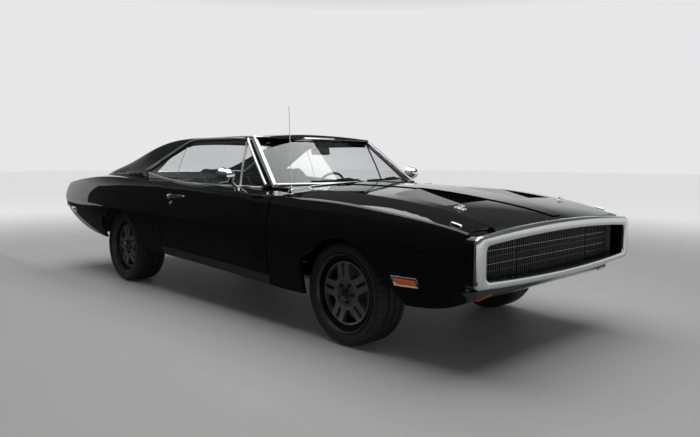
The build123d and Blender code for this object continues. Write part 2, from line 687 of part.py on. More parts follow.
# Front bumper: a bright loop round the whole grille, crowned along its top and bottom
# columns: half width, top corner z, top middle z, low corner z, low middle z, corner radius
LOOP_OUTSIDE = (NOSE_HALF, 754, 798, 484, 462, 48)
LOOP_INSIDE = (818, 706, 744, 524, 501, 32)


def loop_bar(half, top_corner, top_middle, low_corner, low_middle, radius):
    """Bar through the nose with the outline of one edge of the loop."""
    x = NOSE_X - 300
    low_right, low_left = Vector(x, -half, low_corner), Vector(x, half, low_corner)
    top_right, top_left = Vector(x, -half, top_corner), Vector(x, half, top_corner)
    face = Face(Wire([
        Edge.make_three_point_arc(low_right, Vector(x, 0, low_middle), low_left),
        Edge.make_line(low_left, top_left),
        Edge.make_three_point_arc(top_left, Vector(x, 0, top_middle), top_right),
        Edge.make_line(top_right, low_right),
    ]))
    return sweep_face(face.fillet_2d(radius, face.vertices()), (400, 0, 0))


def make_bumper():
    loop = loop_bar(*LOOP_OUTSIDE) - loop_bar(*LOOP_INSIDE)
    loop = loop & nose_block(0, NOSE_HALF, BUMPER_CORNER_R, LOW, HIGH)
    loop -= nose_drum(BUMPER_DEPTH)
    notch = HOOD_HALF_FRONT + SWING_GAP
    return loop - (nose_drum(HOOD_NOSE_DEPTH - SWING_GAP) & box(AXLE_F, NOSE_X, -notch, notch, 755, HIGH))


keep("front_bumper", make_bumper())

# Lower front panel that tucks under the bumper
VALANCE_DEPTH = 86.0
VALANCE_HALF = 900.0
VALANCE_CORNER_R = 170.0
# columns: x, z along the panel's outer and inner side profile
VALANCE_OUT = ((2200, LOW), (2300, 330), (2440, 350), (2505, 374), (2560, 440), (2560, 455), (2200, 455))
VALANCE_IN = ((2100, LOW), (2410, LOW), (2425, 380), (2485, 400), (2530, 452), (2530, 600), (2100, 600))


def make_valance():
    seam = prism_y([(x + SEAT_GAP, z - SEAT_GAP) for x, z in VALANCE_SEAM], -WIDE, WIDE)
    outer = OUTER & seam & prism_y(VALANCE_OUT, -WIDE, WIDE)
    outer = outer & nose_block(VALANCE_DEPTH, VALANCE_HALF, VALANCE_CORNER_R, LOW, HIGH)
    inner = INNER & prism_y(VALANCE_IN, -WIDE, WIDE)
    inner = inner & nose_block(VALANCE_DEPTH + SKIN, VALANCE_HALF - SKIN, VALANCE_CORNER_R - SKIN, LOW, HIGH)
    return outer, outer - inner


valance_form, valance = make_valance()
keep("front_valance", valance)

# Grille between the hidden lamps, and the ribbed doors that cover them
GRILLE_X = (2524.0, 2534.0)
GRILLE_Z = (505.0, 743.0)
GRILLE_HALF = 735.0
SPLIT_Y = 408.0
PLATE = 8.0
SHELF = 6.0
RIB_PITCH = 21.0
RIB_WIDE = 9.0
RIB_PROUD = 6.0
BAR_Z = (554.0, 631.0)
BAR_TALL = 6.0
BAR_PROUD = 9.0
LAMP_AXIS = (2529.0, 735.0)                        # x, z
LAMP_PIN_R = 5.0


def ribbed_panel(y0, y1, z0, z1):
    """Upright panel with evenly spaced ribs and two level bars on its front."""
    panel = box(*GRILLE_X, y0, y1, z0, z1)
    front = GRILLE_X[1]
    count = int((y1 - y0) // RIB_PITCH)
    start = (y0 + y1) / 2 - (count - 1) * RIB_PITCH / 2
    for n in range(count):
        y = start + n * RIB_PITCH
        panel += box(front, front + RIB_PROUD, y - RIB_WIDE / 2, y + RIB_WIDE / 2, z0, z1)
    for z in BAR_Z:
        panel += box(front, front + BAR_PROUD, y0, y1, z - BAR_TALL / 2, z + BAR_TALL / 2)
    return panel


def make_lamp_door():
    y0, y1 = -GRILLE_HALF + SWING_GAP, -SPLIT_Y - PLATE / 2 - SWING_GAP
    door = ribbed_panel(y0, y1, GRILLE_Z[0] + SWING_GAP, LAMP_AXIS[1] + 6)
    return door + cross_rod(LAMP_AXIS, y0 - SWING_GAP - PLATE + 1, y1 + SWING_GAP + PLATE - 1, LAMP_PIN_R)


def make_grille():
    low, high = GRILLE_Z
    grille = box(2490, NOSE_X, -GRILLE_HALF - 90, GRILLE_HALF + 90, high, high + SHELF)
    grille += box(2490, NOSE_X, -GRILLE_HALF - 90, GRILLE_HALF + 90, low - SHELF, low)
    for side in (-1, 1):
        grille += side_box(side, 2490, GRILLE_X[1], SPLIT_Y - PLATE / 2, SPLIT_Y + PLATE / 2, low, high)
        grille += side_box(side, 2490, GRILLE_X[1], GRILLE_HALF, GRILLE_HALF + PLATE, low, high)
        wall = [(GRILLE_X[0], GRILLE_HALF), (2580, 818), (2580, 826), (GRILLE_X[0], GRILLE_HALF + PLATE)]
        grille += prism_z([(x, side * y) for x, y in wall], low, high)
    grille += ribbed_panel(-SPLIT_Y + PLATE / 2, SPLIT_Y - PLATE / 2, low, high)
    grille = grille & nose_drum(BUMPER_DEPTH + SEAT_GAP)
    for side in (-1, 1):
        bore = cross_rod(LAMP_AXIS, side * (SPLIT_Y - PLATE / 2 - 0.5), side * (GRILLE_HALF + PLATE),
                         LAMP_PIN_R + PIN_GAP)
        grille -= bore
    return grille


keep_pair("lamp_door", make_lamp_door())
keep("grille", make_grille())

# Radiator support and inner aprons round the engine
SUPPORT_X = (2275.0, 2300.0)
APRON_Y = (428.0, 440.0)
APRON_Z = (400.0, 790.0)
SHELF_Y = (700.0, 725.0)
HEADLAMP_Y = (500.0, 648.0)
HEADLAMP_Z = 632.0
HEADLAMP_R = 68.0
HEADLAMP_DEEP = 8.0


def make_engine_bay():
    bay = box(*SUPPORT_X, -860, 860, 420, 800) & UNDER
    rear_x, front_x = FIREWALL_X[1] + SEAT_GAP, SUPPORT_X[1] - 10
    for side in (-1, 1):
        bay += side_box(side, rear_x, front_x, *APRON_Y, *APRON_Z)
        bay += side_box(side, rear_x, front_x, APRON_Y[0], SHELF_Y[1], APRON_Z[1] - 12, APRON_Z[1])
        bay += side_box(side, HOOD_AXIS[0] + 50, front_x, *SHELF_Y, APRON_Z[1] - 12, HIGH) & UNDER
    return bay


keep("engine_bay", make_engine_bay())
headlamps = []
for y in HEADLAMP_Y:
    for side in (-1, 1):
        start = SUPPORT_X[1] + SEAT_GAP
        headlamps.append(rod((start, side * y, HEADLAMP_Z), (start + HEADLAMP_DEEP, side * y, HEADLAMP_Z), HEADLAMP_R))
keep("headlamps", *headlamps)

# Floor, rockers, rails, trunk floor, rear wheel houses
FLOOR_FRONT_X = FIREWALL_X[0] - SEAT_GAP
HEEL_X = -782.0
KICKUP_Z = (470.0, 492.0)
TRUNK_FLOOR_X = (-2340.0, -1760.0)
TRUNK_FLOOR_Z = (530.0, 550.0)
TUNNEL_HALF = 140.0
RAIL_Y = (372.0, 426.0)
RAIL_Z = (270.0, 331.0)
RAIL_STEP_X = 1450.0                               # ahead of this the rail clears the front cross-member
RAIL_STEP = 6.0
RAIL_FRONT_X = 2090.0
REAR_RAIL_Y = (430.0, 494.0)
WELL_R = 372.0
WELL_WALL = 12.0
WELL_Y = 568.0


def make_wheel_house():
    """Right rear wheel house: a half drum closed on its inner side."""
    axis = (AXLE_R, TYRE_R)
    house = cross_rod(axis, -WELL_Y, -WIDE, WELL_R + WELL_WALL)
    house -= cross_rod(axis, -WELL_Y - WELL_WALL, -WIDE - 1, WELL_R)
    return house & SEATED & box(AXLE_R - WELL_R - 50, AXLE_R + WELL_R + 50, -WIDE, 0, KICKUP_Z[0] - 40, HIGH)


def make_floor():
    heel = (HEEL_X, HEEL_X + 22)
    floor = box(HEEL_X, FLOOR_FRONT_X, -800, 800, *FLOOR_Z)
    floor += box(*heel, -800, 800, FLOOR_Z[0], KICKUP_Z[1])
    floor += box(-960, heel[1], -800, 800, *KICKUP_Z)
    floor += box(-1780, -940, -575, 575, *KICKUP_Z)
    floor += box(*TRUNK_FLOOR_X, -780, 780, *TRUNK_FLOOR_Z)
    floor += box(TRUNK_FLOOR_X[1] - 20, TRUNK_FLOOR_X[1], -780, 780, KICKUP_Z[0], TRUNK_FLOOR_Z[1])
    floor += box(HEEL_X, FLOOR_FRONT_X, -TUNNEL_HALF, TUNNEL_HALF, FLOOR_Z[1], KICKUP_Z[1])
    rocker = THICK_SHELL & box(DOOR_REAR_X - 4, DOOR_FRONT_X + 4, -WIDE, 0, LOW, 700)
    rocker -= sill_region(DOOR_BOTTOM_RISE - PANEL_GAP)
    house = make_wheel_house()
    for side in (-1, 1):
        floor += side_box(side, HEEL_X, RAIL_STEP_X, *RAIL_Y, *RAIL_Z)
        floor += side_box(side, RAIL_STEP_X, RAIL_FRONT_X, *RAIL_Y, RAIL_Z[0] + RAIL_STEP, RAIL_Z[1])
        floor += side_box(side, -2330, heel[1], *REAR_RAIL_Y, 425, KICKUP_Z[0] + 2)
        floor += side_box(side, HEEL_X, HEEL_X + 60, RAIL_Y[0], REAR_RAIL_Y[1], RAIL_Z[0], 480)
        floor += side_box(side, -2330, -2300, *REAR_RAIL_Y, 430, 540)
        floor += side_box(side, DOOR_REAR_X, DOOR_FRONT_X, 798, 840, *FLOOR_Z)
        floor += rocker if side < 0 else flip(rocker)
        floor += house if side < 0 else flip(house)
    return floor


keep("floor_pan", make_floor())

# Tyres and wheels
TYRE_SIDES = 60
# columns: in from the tyre's face, radius; from the bead to the edge of the tread
TYRE_SHOULDER = ((12, FLANGE_R + 5), (0, 284), (5, 304), (22, 320), (56, TYRE_R))
SPOKE_PAIRS = 5
SPOKE_START = 28.0                                 # degrees from forward, seen from the car's right
SPOKE_RING_R = 186.0
# columns: radius, half width across; round one opening from its inner to its outer end
SLOT = ((104, 10), (184, 14))
WINDOW_CUT = ((104, 14), (174, 66), (183, 34))


def polygon_ring(x, y, radius):
    """Regular polygon about the axle with a flat at the bottom, its flats at the given radius."""
    reach = radius / math.cos(math.pi / TYRE_SIDES)
    turns = [2 * math.pi * (n + 0.5) / TYRE_SIDES for n in range(TYRE_SIDES)]
    points = [Vector(x + reach * math.sin(t), y, TYRE_R + reach * math.cos(t)) for t in turns]
    return Wire.make_polygon(points, close=True)


def make_tyre(x, side, w0, w1):
    """Plain tyre between two distances from the car's middle."""
    rows = [(w0 + into, r) for into, r in TYRE_SHOULDER]
    rows += [(w1 - into, r) for into, r in reversed(TYRE_SHOULDER)]
    tyre = Solid.make_loft([polygon_ring(x, side * w, r) for w, r in rows], True)
    ends = [polygon_ring(x, side * w, FLANGE_R + SEAT_GAP) for w in (w0 - 10, w1 + 10)]
    return tyre - Solid.make_loft(ends, True)


def ring(profile, x, side):
    """Turned solid about the axle: profile of (distance from the car's middle, radius) points."""
    points = [Vector(x, side * w, TYRE_R + r) for w, r in profile]
    face = Face(Wire.make_polygon(points, close=True))
    return Solid.revolve(face, 360, Axis((x, 0, TYRE_R), (0, 1, 0)))


def spoke_cut(outline, turn, x, side, w0, w1):
    """Opening through the wheel's face, its outline mirrored about the line at the given turn."""
    points = list(outline) + [(r, -half) for r, half in reversed(outline)]
    if outline is WINDOW_CUT:
        points.insert(len(outline), (SPOKE_RING_R, 0))
    c, s = math.cos(turn), math.sin(turn)
    flat = [(x + c * r - s * across, TYRE_R + s * r + c * across) for r, across in points]
    return prism_y(flat, side * w0, side * w1)


def make_wheel(x, side, w0, w1, face):
    """Deep-lipped rim, face with five pairs of spokes, hub and brake disc."""
    lip = w1 - 8
    hub_r = SPINDLE_R + PIN_GAP
    wheel = ring([(w0 + 8, 236), (w0 + 8, FLANGE_R), (lip, FLANGE_R), (lip, 238), (face + 8, 232), (face + 8, 222),
                  (face - 2, 218), (face - 2, 205), (face - 34, 205), (face - 34, 222), (w0 + 30, 226)], x, side)
    disc = ring([(face - 30, 207), (face - 4, 207), (face, 190), (face + 6, 84), (face - 10, 76), (face - 10, 44),
                 (face + 4, 40), (face + 4, hub_r), (face - 60, hub_r), (face - 60, 74), (face - 34, 76)], x, side)
    for n in range(SPOKE_PAIRS):
        turn = math.radians(SPOKE_START + 360 / SPOKE_PAIRS * n)
        disc -= spoke_cut(SLOT, turn, x, side, face - 200, face + 100)
        disc -= spoke_cut(WINDOW_CUT, turn + math.pi / SPOKE_PAIRS, x, side, face - 200, face + 100)
    brake = ring([(face - 86, 50), (face - 86, 160), (face - 62, 160), (face - 62, 88), (face - 50, 88),
                  (face - 50, hub_r), (face - 60, hub_r), (face - 60, 50)], x, side)
    return wheel + disc + brake


# columns: name, axle x, side, tyre inner, tyre outer, spoke face
WHEELS = (
    ("front_right", AXLE_F, -1, 630, 875, 838),
    ("front_left", AXLE_F, 1, 630, 875, 838),
    ("rear_right", AXLE_R, -1, 591, 866, 808),
    ("rear_left", AXLE_R, 1, 591, 866, 808),
)
for name, x, side, w0, w1, face in WHEELS:
    keep("tyre_" + name, make_tyre(x, side, w0, w1))
    keep("wheel_" + name, make_wheel(x, side, w0, w1, face))

# Front suspension: knuckles turn on king pins between the arms
KING_Y = 690.0
KING_PIN_R = 9.0
# columns: arm low z, arm high z, pin low z, pin high z, arm's inner end y
ARMS = ((185, 210, 205, 243, 400), (458, 480, 425, 462, APRON_Y[1] + SEAT_GAP))


def make_knuckle():
    x, z = AXLE_F, TYRE_R
    post = box(x - 26, x + 26, -714, -664, 215, 452)
    post += cross_rod((x, z), -700, -742, 44)
    post += cross_rod((x, z), -700, -834, SPINDLE_R)
    for _, _, pin_low, pin_high, _ in ARMS:
        post -= rod((x, -KING_Y, pin_low - 2), (x, -KING_Y, pin_high + 2), KING_PIN_R + PIN_GAP)
    caliper = [(x + 95, z + 60), (x + 150, z + 30), (x + 178, z + 40), (x + 150, z + 110), (x + 110, z + 132)]
    post += prism_y(caliper, -788, -730) - ring([(745, 40), (745, 168), (783, 168), (783, 40)], x, -1)
    mount = [(x, z + 20), (x + 150, z + 40), (x + 120, z + 110), (x, z + 60)]
    return post + prism_y(mount, -742, -714)


def make_subframe():
    frame = box(AXLE_F - 60, AXLE_F + 60, -RAIL_Y[1], RAIL_Y[1], 190, RAIL_Z[0] + RAIL_STEP - SEAT_GAP)
    for side in (-1, 1):
        for low, high, pin_low, pin_high, inner in ARMS:
            frame += side_box(side, AXLE_F - 32, AXLE_F + 32, inner, 716, low, high)
            frame += rod((AXLE_F, side * KING_Y, pin_low), (AXLE_F, side * KING_Y, pin_high), KING_PIN_R)
    return frame


keep_pair("knuckle", make_knuckle())
keep("front_subframe", make_subframe())

# Rear axle with its leaf springs
SPRING_Y = (505.0, 562.0)
SPRING_TALL = 30.0
# columns: x from the axle, z along the spring's top
SPRING_TOP = ((510, KICKUP_Z[0] - SEAT_GAP), (300, 345), (0, 292), (-380, 350), (-680, TRUNK_FLOOR_Z[0] - SEAT_GAP))


def make_rear_axle():
    x, z = AXLE_R, TYRE_R
    axle = cross_rod((x, z), -700, 700, 42)
    axle += Pos(x, 0, z) * Sphere(135) & box(x - 150, x + 110, -140, 140, 180, 470)
    axle += rod((x + 60, 0, z), (x + 230, 0, z), 48)
    top = [(x + along, height) for along, height in SPRING_TOP]
    low = [(along, height - SPRING_TALL) for along, height in reversed(top)]
    low[0] = (top[-1][0] - 36, top[-1][1])
    low[-1] = (top[0][0] + 36, top[0][1])
    for side in (-1, 1):
        axle += cross_rod((x, z), side * 690, side * 806, SPINDLE_R)
        axle += prism_y(top + low, *sorted(side * y for y in SPRING_Y))
    return axle


keep("rear_axle", make_rear_axle())

# Engine block, fuel tank, exhaust
ENGINE_X = (1060.0, 1780.0)
AIR_CLEANER = (1400.0, 190.0, 860.0)               # x, radius, top z
TANK = (-2360.0, -1800.0, 400.0, 390.0)            # rear x, front x, half width, low z
PIPE_R = 28.0
PIPE_BEND = 70.0
MUFFLER_X = (-640.0, -200.0)
MUFFLER_Y = (190.0, 360.0)
# columns: x, y, z along one pipe
PIPE_ROUTE = ((1000, 300, 240), (-720, 300, 262), (-1060, 360, 300), (-1240, 372, 424), (-1440, 372, 424),
              (-1720, 456, 340), (-2000, 456, 340), (-2500, 456, 398))


def make_engine():
    x, radius, top = AIR_CLEANER
    engine = box(*ENGINE_X, -270, 270, 340, 760) + box(1120, 1720, -330, 330, 560, 690)
    engine += rod((x, 0, 758), (x, 0, top), radius)
    engine += box(1100, 1500, -110, 110, 295, 345)
    for side in (-1, 1):
        engine += side_box(side, 1380, 1440, 260, APRON_Y[0] - SEAT_GAP, 420, 460)
    return engine


def make_exhaust():
    runs = []
    for side in (-1, 1):
        path = FilletPolyline(*[(x, side * y, z) for x, y, z in PIPE_ROUTE], radius=PIPE_BEND)
        pipe = sweep(Plane(origin=path @ 0, z_dir=path % 0) * Circle(PIPE_R), path=path)
        runs.append(pipe + side_box(side, *MUFFLER_X, *MUFFLER_Y, 200, FLOOR_Z[0] - SEAT_GAP))
    return runs


keep("engine", make_engine())
tank_x0, tank_x1, tank_half, tank_z = TANK
tank = box(tank_x0, tank_x1, -tank_half, tank_half, tank_z, TRUNK_FLOOR_Z[0] - SEAT_GAP)
keep("fuel_tank", fillet(tank.edges().filter_by(Axis.Z), 60))
keep("exhaust", *make_exhaust())

# Dashboard with the steering column, and the steering wheel
DASH_HALF = 735.0
# columns: x, z round the dashboard's side profile
DASH_PROFILE = ((DASH_X - 5, 861), (700, 660), (560, 640), (470, 780), (480, 880), (540, 925), (700, 925),
                (DASH_X - SEAT_GAP, 925), (DASH_X - SEAT_GAP, 870))
COLUMN_END = Vector(150, 370, 850)
COLUMN_DIR = Vector(-0.90, 0, 0.43).normalized()
COLUMN_R = 28.0
SHAFT_R = 12.0
STEER_R = 188.0
STEER_RIM_R = 13.0
STEER_SPOKES = 3


def column_rod(start, end, radius):
    """Bar along the steering column between two distances ahead of the wheel."""
    return rod(tuple(COLUMN_END - COLUMN_DIR * start), tuple(COLUMN_END - COLUMN_DIR * end), radius)


def make_dashboard():
    dash = prism_y(DASH_PROFILE, -DASH_HALF, DASH_HALF) + column_rod(430, 46, COLUMN_R)
    return dash - column_rod(110, 0, SHAFT_R + PIN_GAP)


def make_steering_wheel():
    turns = [math.radians(45 * n + 22.5) for n in range(8)]
    points = [Vector(STEER_R + STEER_RIM_R * math.cos(t), 0, STEER_RIM_R * math.sin(t)) for t in turns]
    steer = Solid.revolve(Face(Wire.make_polygon(points, close=True)), 360, Axis.Z)
    steer = steer + Pos(0, 0, -20) * Cylinder(42, 36)
    for n in range(STEER_SPOKES):
        steer += Rot(0, 0, 360 / STEER_SPOKES * n + 90) * Pos(100, 0, -4) * Box(180, 26, 8)
    steer = Plane(origin=COLUMN_END, z_dir=COLUMN_DIR) * steer
    return steer + column_rod(0, 100, SHAFT_R)


keep("dashboard", make_dashboard())
keep("steering_wheel", make_steering_wheel())

# Seats
SEAT_Y = 400.0
SEAT_HALF = 250.0
REAR_SEAT_HALF = 562.0
# columns: x, z, rounding radius
SEAT_BACK = ((-190, 470, 20), (-330, 470, 30), (-505, 1078, 24), (-440, 1090, 24), (-320, 880, 90))
REAR_SEAT = ((-560, 585, 40), (-540, 520, 0), (-560, KICKUP_Z[1] + SEAT_GAP, 0), (-1120, KICKUP_Z[1] + SEAT_GAP, 0),
             (-1225, 900, 30), (-1090, 915, 30), (-950, 575, 40))


def make_seat(y):
    """High-backed bucket seat on its base."""
    cushion = fillet(box(-230, 320, y - SEAT_HALF, y + SEAT_HALF, 390, 560).edges(), 45)
    back = rounded_prism_y(SEAT_BACK, y - SEAT_HALF + 15, y + SEAT_HALF - 15)
    return cushion + back + box(-180, 260, y - 190, y + 190, FLOOR_Z[1] + SEAT_GAP, 420)


keep("front_seats", make_seat(-SEAT_Y), make_seat(SEAT_Y))
keep("rear_seat", rounded_prism_y(REAR_SEAT, -REAR_SEAT_HALF, REAR_SEAT_HALF))

# Marker lamps, turn lamps, antenna
LENS_PROUD = 3.0
# columns: x rear, x front, z low, z high
SIDE_MARKERS = ((2130, 2290, 458, 506), (-2400, -2260, 600, 640))
TURN_LAMP_Y = (610.0, 790.0)
TURN_LAMP_Z = (362.0, 424.0)
ANTENNA_FOOT = (1050.0, -790.0)
ANTENNA_TOP = (1030.0, -790.0, 1489.0)


def make_markers():
    lamps = []
    for side in (-1, 1):
        for x0, x1, z0, z1 in SIDE_MARKERS:
            lens = (Pos(0, side * LENS_PROUD, 0) * OUTER) & side_box(side, x0, x1, 800, 1000, z0, z1)
            lamps.append(lens - OUTER)
        lens = Pos(LENS_PROUD, 0, -1) * valance_form
        lens = lens & side_box(side, AXLE_F, NOSE_X, *TURN_LAMP_Y, *TURN_LAMP_Z)
        lamps.append(lens - valance_form)
    return lamps


keep("marker_lamps", *make_markers())
mast = rod((*ANTENNA_FOOT, 920), ANTENNA_TOP, 2.5) + rod((*ANTENNA_FOOT, 880), (*ANTENNA_FOOT, 956), 12)
keep("antenna", mast - OUTER)

if __name__ == "__main__":
    os.makedirs("parts", exist_ok=True)
    for name, shape in PIECES.items():
        export_step(shape, os.path.join("parts", name + ".step"))
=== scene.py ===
"""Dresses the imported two-door fastback: paint, bright trim, glass, lamps, tyres and cabin."""
import json
import math

import bmesh
import bpy
from mathutils import Matrix, Vector
from mathutils.bvhtree import BVHTree


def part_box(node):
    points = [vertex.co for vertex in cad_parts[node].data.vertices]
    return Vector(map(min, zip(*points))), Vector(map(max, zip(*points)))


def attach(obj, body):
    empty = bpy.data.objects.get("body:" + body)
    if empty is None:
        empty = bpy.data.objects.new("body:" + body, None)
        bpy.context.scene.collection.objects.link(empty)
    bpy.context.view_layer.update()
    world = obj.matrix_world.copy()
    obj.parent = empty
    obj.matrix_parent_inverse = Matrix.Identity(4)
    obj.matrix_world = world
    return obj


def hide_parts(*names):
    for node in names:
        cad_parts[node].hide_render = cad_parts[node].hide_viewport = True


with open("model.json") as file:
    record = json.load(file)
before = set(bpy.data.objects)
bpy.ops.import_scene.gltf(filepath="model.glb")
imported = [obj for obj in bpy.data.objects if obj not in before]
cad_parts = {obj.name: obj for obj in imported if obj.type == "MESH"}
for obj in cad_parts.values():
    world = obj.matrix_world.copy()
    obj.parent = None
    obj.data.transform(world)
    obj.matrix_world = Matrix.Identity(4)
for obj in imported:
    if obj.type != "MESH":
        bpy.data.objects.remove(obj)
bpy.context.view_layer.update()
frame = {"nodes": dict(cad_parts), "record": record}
nodes = frame["nodes"]
scene = bpy.context.scene

# Camera fitted to the photograph, 700 x 437
CAMERA_AT = Vector((4.4148, -3.5425, 1.1312))
CAMERA_YAW = math.radians(135.494)
CAMERA_PITCH = math.radians(-5.132)
CAMERA_ROLL = math.radians(0.257)
CAMERA_FOCAL_PX = 644.25
PHOTO_WIDTH_PX = 700

# Axles, metres
AXLE_F, AXLE_R, TYRE_R = 1.6315, -1.3405, 0.325


# Materials
def look(name, color, rough, metal=0.0, **sockets):
    """Principled material; sockets are its other inputs by name, with _ for a space."""
    made = bpy.data.materials.new(name)
    made.use_nodes = True
    shader = made.node_tree.nodes["Principled BSDF"]
    shader.inputs["Base Color"].default_value = (*color, 1.0)
    shader.inputs["Roughness"].default_value = rough
    shader.inputs["Metallic"].default_value = metal
    for socket, value in sockets.items():
        shader.inputs[socket.replace("_", " ")].default_value = value
    return made


def node(made, kind, inputs=(), **props):
    """New shader node with some of its inputs and properties set."""
    fresh = made.node_tree.nodes.new(kind)
    for key, value in props.items():
        setattr(fresh, key, value)
    for key, value in dict(inputs).items():
        fresh.inputs[key].default_value = value
    return fresh


def shader_of(made):
    return made.node_tree.nodes["Principled BSDF"]


def texture(made, kind, scale, stretch=(1, 1, 1), **inputs):
    """Procedural texture in the object's own coordinates."""
    place = node(made, "ShaderNodeTexCoord")
    spread = node(made, "ShaderNodeMapping", {"Scale": stretch})
    fresh = node(made, kind, {"Scale": scale, **inputs})
    made.node_tree.links.new(place.outputs["Object"], spread.inputs["Vector"])
    made.node_tree.links.new(spread.outputs["Vector"], fresh.inputs["Vector"])
    return fresh


def height_of(fresh):
    return fresh.outputs["Fac"] if "Fac" in fresh.outputs else fresh.outputs["Distance"]


def vary(made, socket, fresh, low, high):
    """A number socket that follows a texture between two values."""
    span = node(made, "ShaderNodeMapRange", {"To Min": low, "To Max": high})
    made.node_tree.links.new(height_of(fresh), span.inputs["Value"])
    made.node_tree.links.new(span.outputs["Result"], shader_of(made).inputs[socket])


def tint(made, fresh, low, high):
    """Base colour that follows a texture between two colours."""
    ramp = node(made, "ShaderNodeValToRGB")
    ramp.color_ramp.elements[0].color = (*low, 1)
    ramp.color_ramp.elements[1].color = (*high, 1)
    made.node_tree.links.new(height_of(fresh), ramp.inputs["Fac"])
    made.node_tree.links.new(ramp.outputs["Color"], shader_of(made).inputs["Base Color"])


def relief(made, fresh, strength, distance, edge=0.0):
    """Bump from a texture; edge rounds the sharp edges it meets by that radius."""
    bump = node(made, "ShaderNodeBump", {"Strength": strength, "Distance": distance})
    made.node_tree.links.new(height_of(fresh), bump.inputs["Height"])
    if edge:
        bevel = node(made, "ShaderNodeBevel", {"Radius": edge}, samples=4)
        made.node_tree.links.new(bevel.outputs["Normal"], bump.inputs["Normal"])
    made.node_tree.links.new(bump.outputs["Normal"], shader_of(made).inputs["Normal"])


NOISE, CELLS, WAVES = "ShaderNodeTexNoise", "ShaderNodeTexVoronoi", "ShaderNodeTexWave"

paint = look("black_paint", (0.003, 0.003, 0.0034), 0.4, Coat_Weight=1.0, Coat_Roughness=0.02,
             Specular_IOR_Level=0.0)
tint(paint, texture(paint, NOISE, 900), (0.002, 0.002, 0.0022), (0.0045, 0.0045, 0.005))
vary(paint, "Roughness", texture(paint, NOISE, 14), 0.34, 0.48)
relief(paint, texture(paint, NOISE, 180), 0.02, 0.0004, 0.0035)

chrome = look("chrome", (0.80, 0.81, 0.82), 0.08, 1.0)
vary(chrome, "Roughness", texture(chrome, NOISE, 60), 0.04, 0.11)
relief(chrome, texture(chrome, NOISE, 90), 0.03, 0.0003, 0.0012)

satin = look("satin_bright_metal", (0.62, 0.63, 0.63), 0.2, 1.0)
vary(satin, "Roughness", texture(satin, NOISE, 40), 0.16, 0.24)
relief(satin, texture(satin, NOISE, 600), 0.03, 0.0002)

bright_trim = look("bright_trim", (0.90, 0.90, 0.91), 0.30, 1.0)
vary(bright_trim, "Roughness", texture(bright_trim, NOISE, 30), 0.26, 0.36)
relief(bright_trim, texture(bright_trim, NOISE, 500, (0.1, 1, 1)), 0.04, 0.0002)

dark = look("underbody_black", (0.015, 0.015, 0.015), 0.65)
tint(dark, texture(dark, NOISE, 18), (0.009, 0.009, 0.009), (0.022, 0.021, 0.02))
relief(dark, texture(dark, NOISE, 220), 0.25, 0.001)

steel = look("dull_steel", (0.32, 0.32, 0.32), 0.45, 0.9)
tint(steel, texture(steel, NOISE, 9), (0.20, 0.19, 0.18), (0.40, 0.39, 0.38))
vary(steel, "Roughness", texture(steel, NOISE, 30), 0.35, 0.6)

plastic = look("black_plastic", (0.012, 0.012, 0.012), 0.45)
vary(plastic, "Roughness", texture(plastic, NOISE, 25), 0.38, 0.55)
relief(plastic, texture(plastic, CELLS, 900), 0.12, 0.0003, 0.001)

grille_black = look("grille_black", (0.0035, 0.0035, 0.0037), 0.55)
vary(grille_black, "Roughness", texture(grille_black, NOISE, 60), 0.45, 0.65)
relief(grille_black, texture(grille_black, NOISE, 400), 0.08, 0.0002)

leather = look("black_vinyl", (0.016, 0.0155, 0.015), 0.45)
tint(leather, texture(leather, NOISE, 11), (0.011, 0.0108, 0.0105), (0.022, 0.021, 0.02))
vary(leather, "Roughness", texture(leather, NOISE, 20), 0.40, 0.55)
relief(leather, texture(leather, CELLS, 420), 0.25, 0.0006)

glass = look("tinted_glass", (0.955, 0.975, 0.968), 0.0, Transmission_Weight=1.0, IOR=1.45)
vary(glass, "Roughness", texture(glass, NOISE, 3), 0.0, 0.012)

lens = look("lamp_glass", (0.92, 0.93, 0.94), 0.05, Transmission_Weight=0.6)
relief(lens, texture(lens, WAVES, 28, (0, 1, 0)), 0.6, 0.003)

red = look("red_lens", (0.30, 0.006, 0.008), 0.12, Coat_Weight=0.6)
relief(red, texture(red, CELLS, 130), 0.35, 0.0012)

amber = look("amber_lens", (0.55, 0.10, 0.010), 0.16, Coat_Weight=0.5)
relief(amber, texture(amber, WAVES, 60, (1, 0.3, 0)), 0.35, 0.0010)

rubber = look("tyre_rubber", (0.011, 0.011, 0.011), 0.62)
tint(rubber, texture(rubber, NOISE, 30), (0.008, 0.008, 0.008), (0.015, 0.0148, 0.0145))
vary(rubber, "Roughness", texture(rubber, NOISE, 12), 0.55, 0.72)
relief(rubber, texture(rubber, NOISE, 500), 0.15, 0.0004)

gunmetal = look("gunmetal", (0.085, 0.085, 0.09), 0.36, 0.85)
vary(gunmetal, "Roughness", texture(gunmetal, NOISE, 70), 0.28, 0.42)
relief(gunmetal, texture(gunmetal, NOISE, 700), 0.06, 0.0002, 0.0025)

rubber_trim = look("black_rubber_trim", (0.008, 0.008, 0.008), 0.5)
vary(rubber_trim, "Roughness", texture(rubber_trim, NOISE, 40), 0.42, 0.6)
relief(rubber_trim, texture(rubber_trim, NOISE, 300), 0.1, 0.0003)

dark_chrome = look("dark_nut_metal", (0.16, 0.16, 0.165), 0.25, 1.0)
vary(dark_chrome, "Roughness", texture(dark_chrome, NOISE, 80), 0.18, 0.32)


WHEEL_LOOK_R = 0.25
# columns: share of that radius, grey
WHEEL_GREYS = ((0.0, 0.27), (0.775, 0.27), (0.79, 0.010), (0.925, 0.012), (0.935, 0.16), (0.965, 0.16),
               (0.975, 0.03))


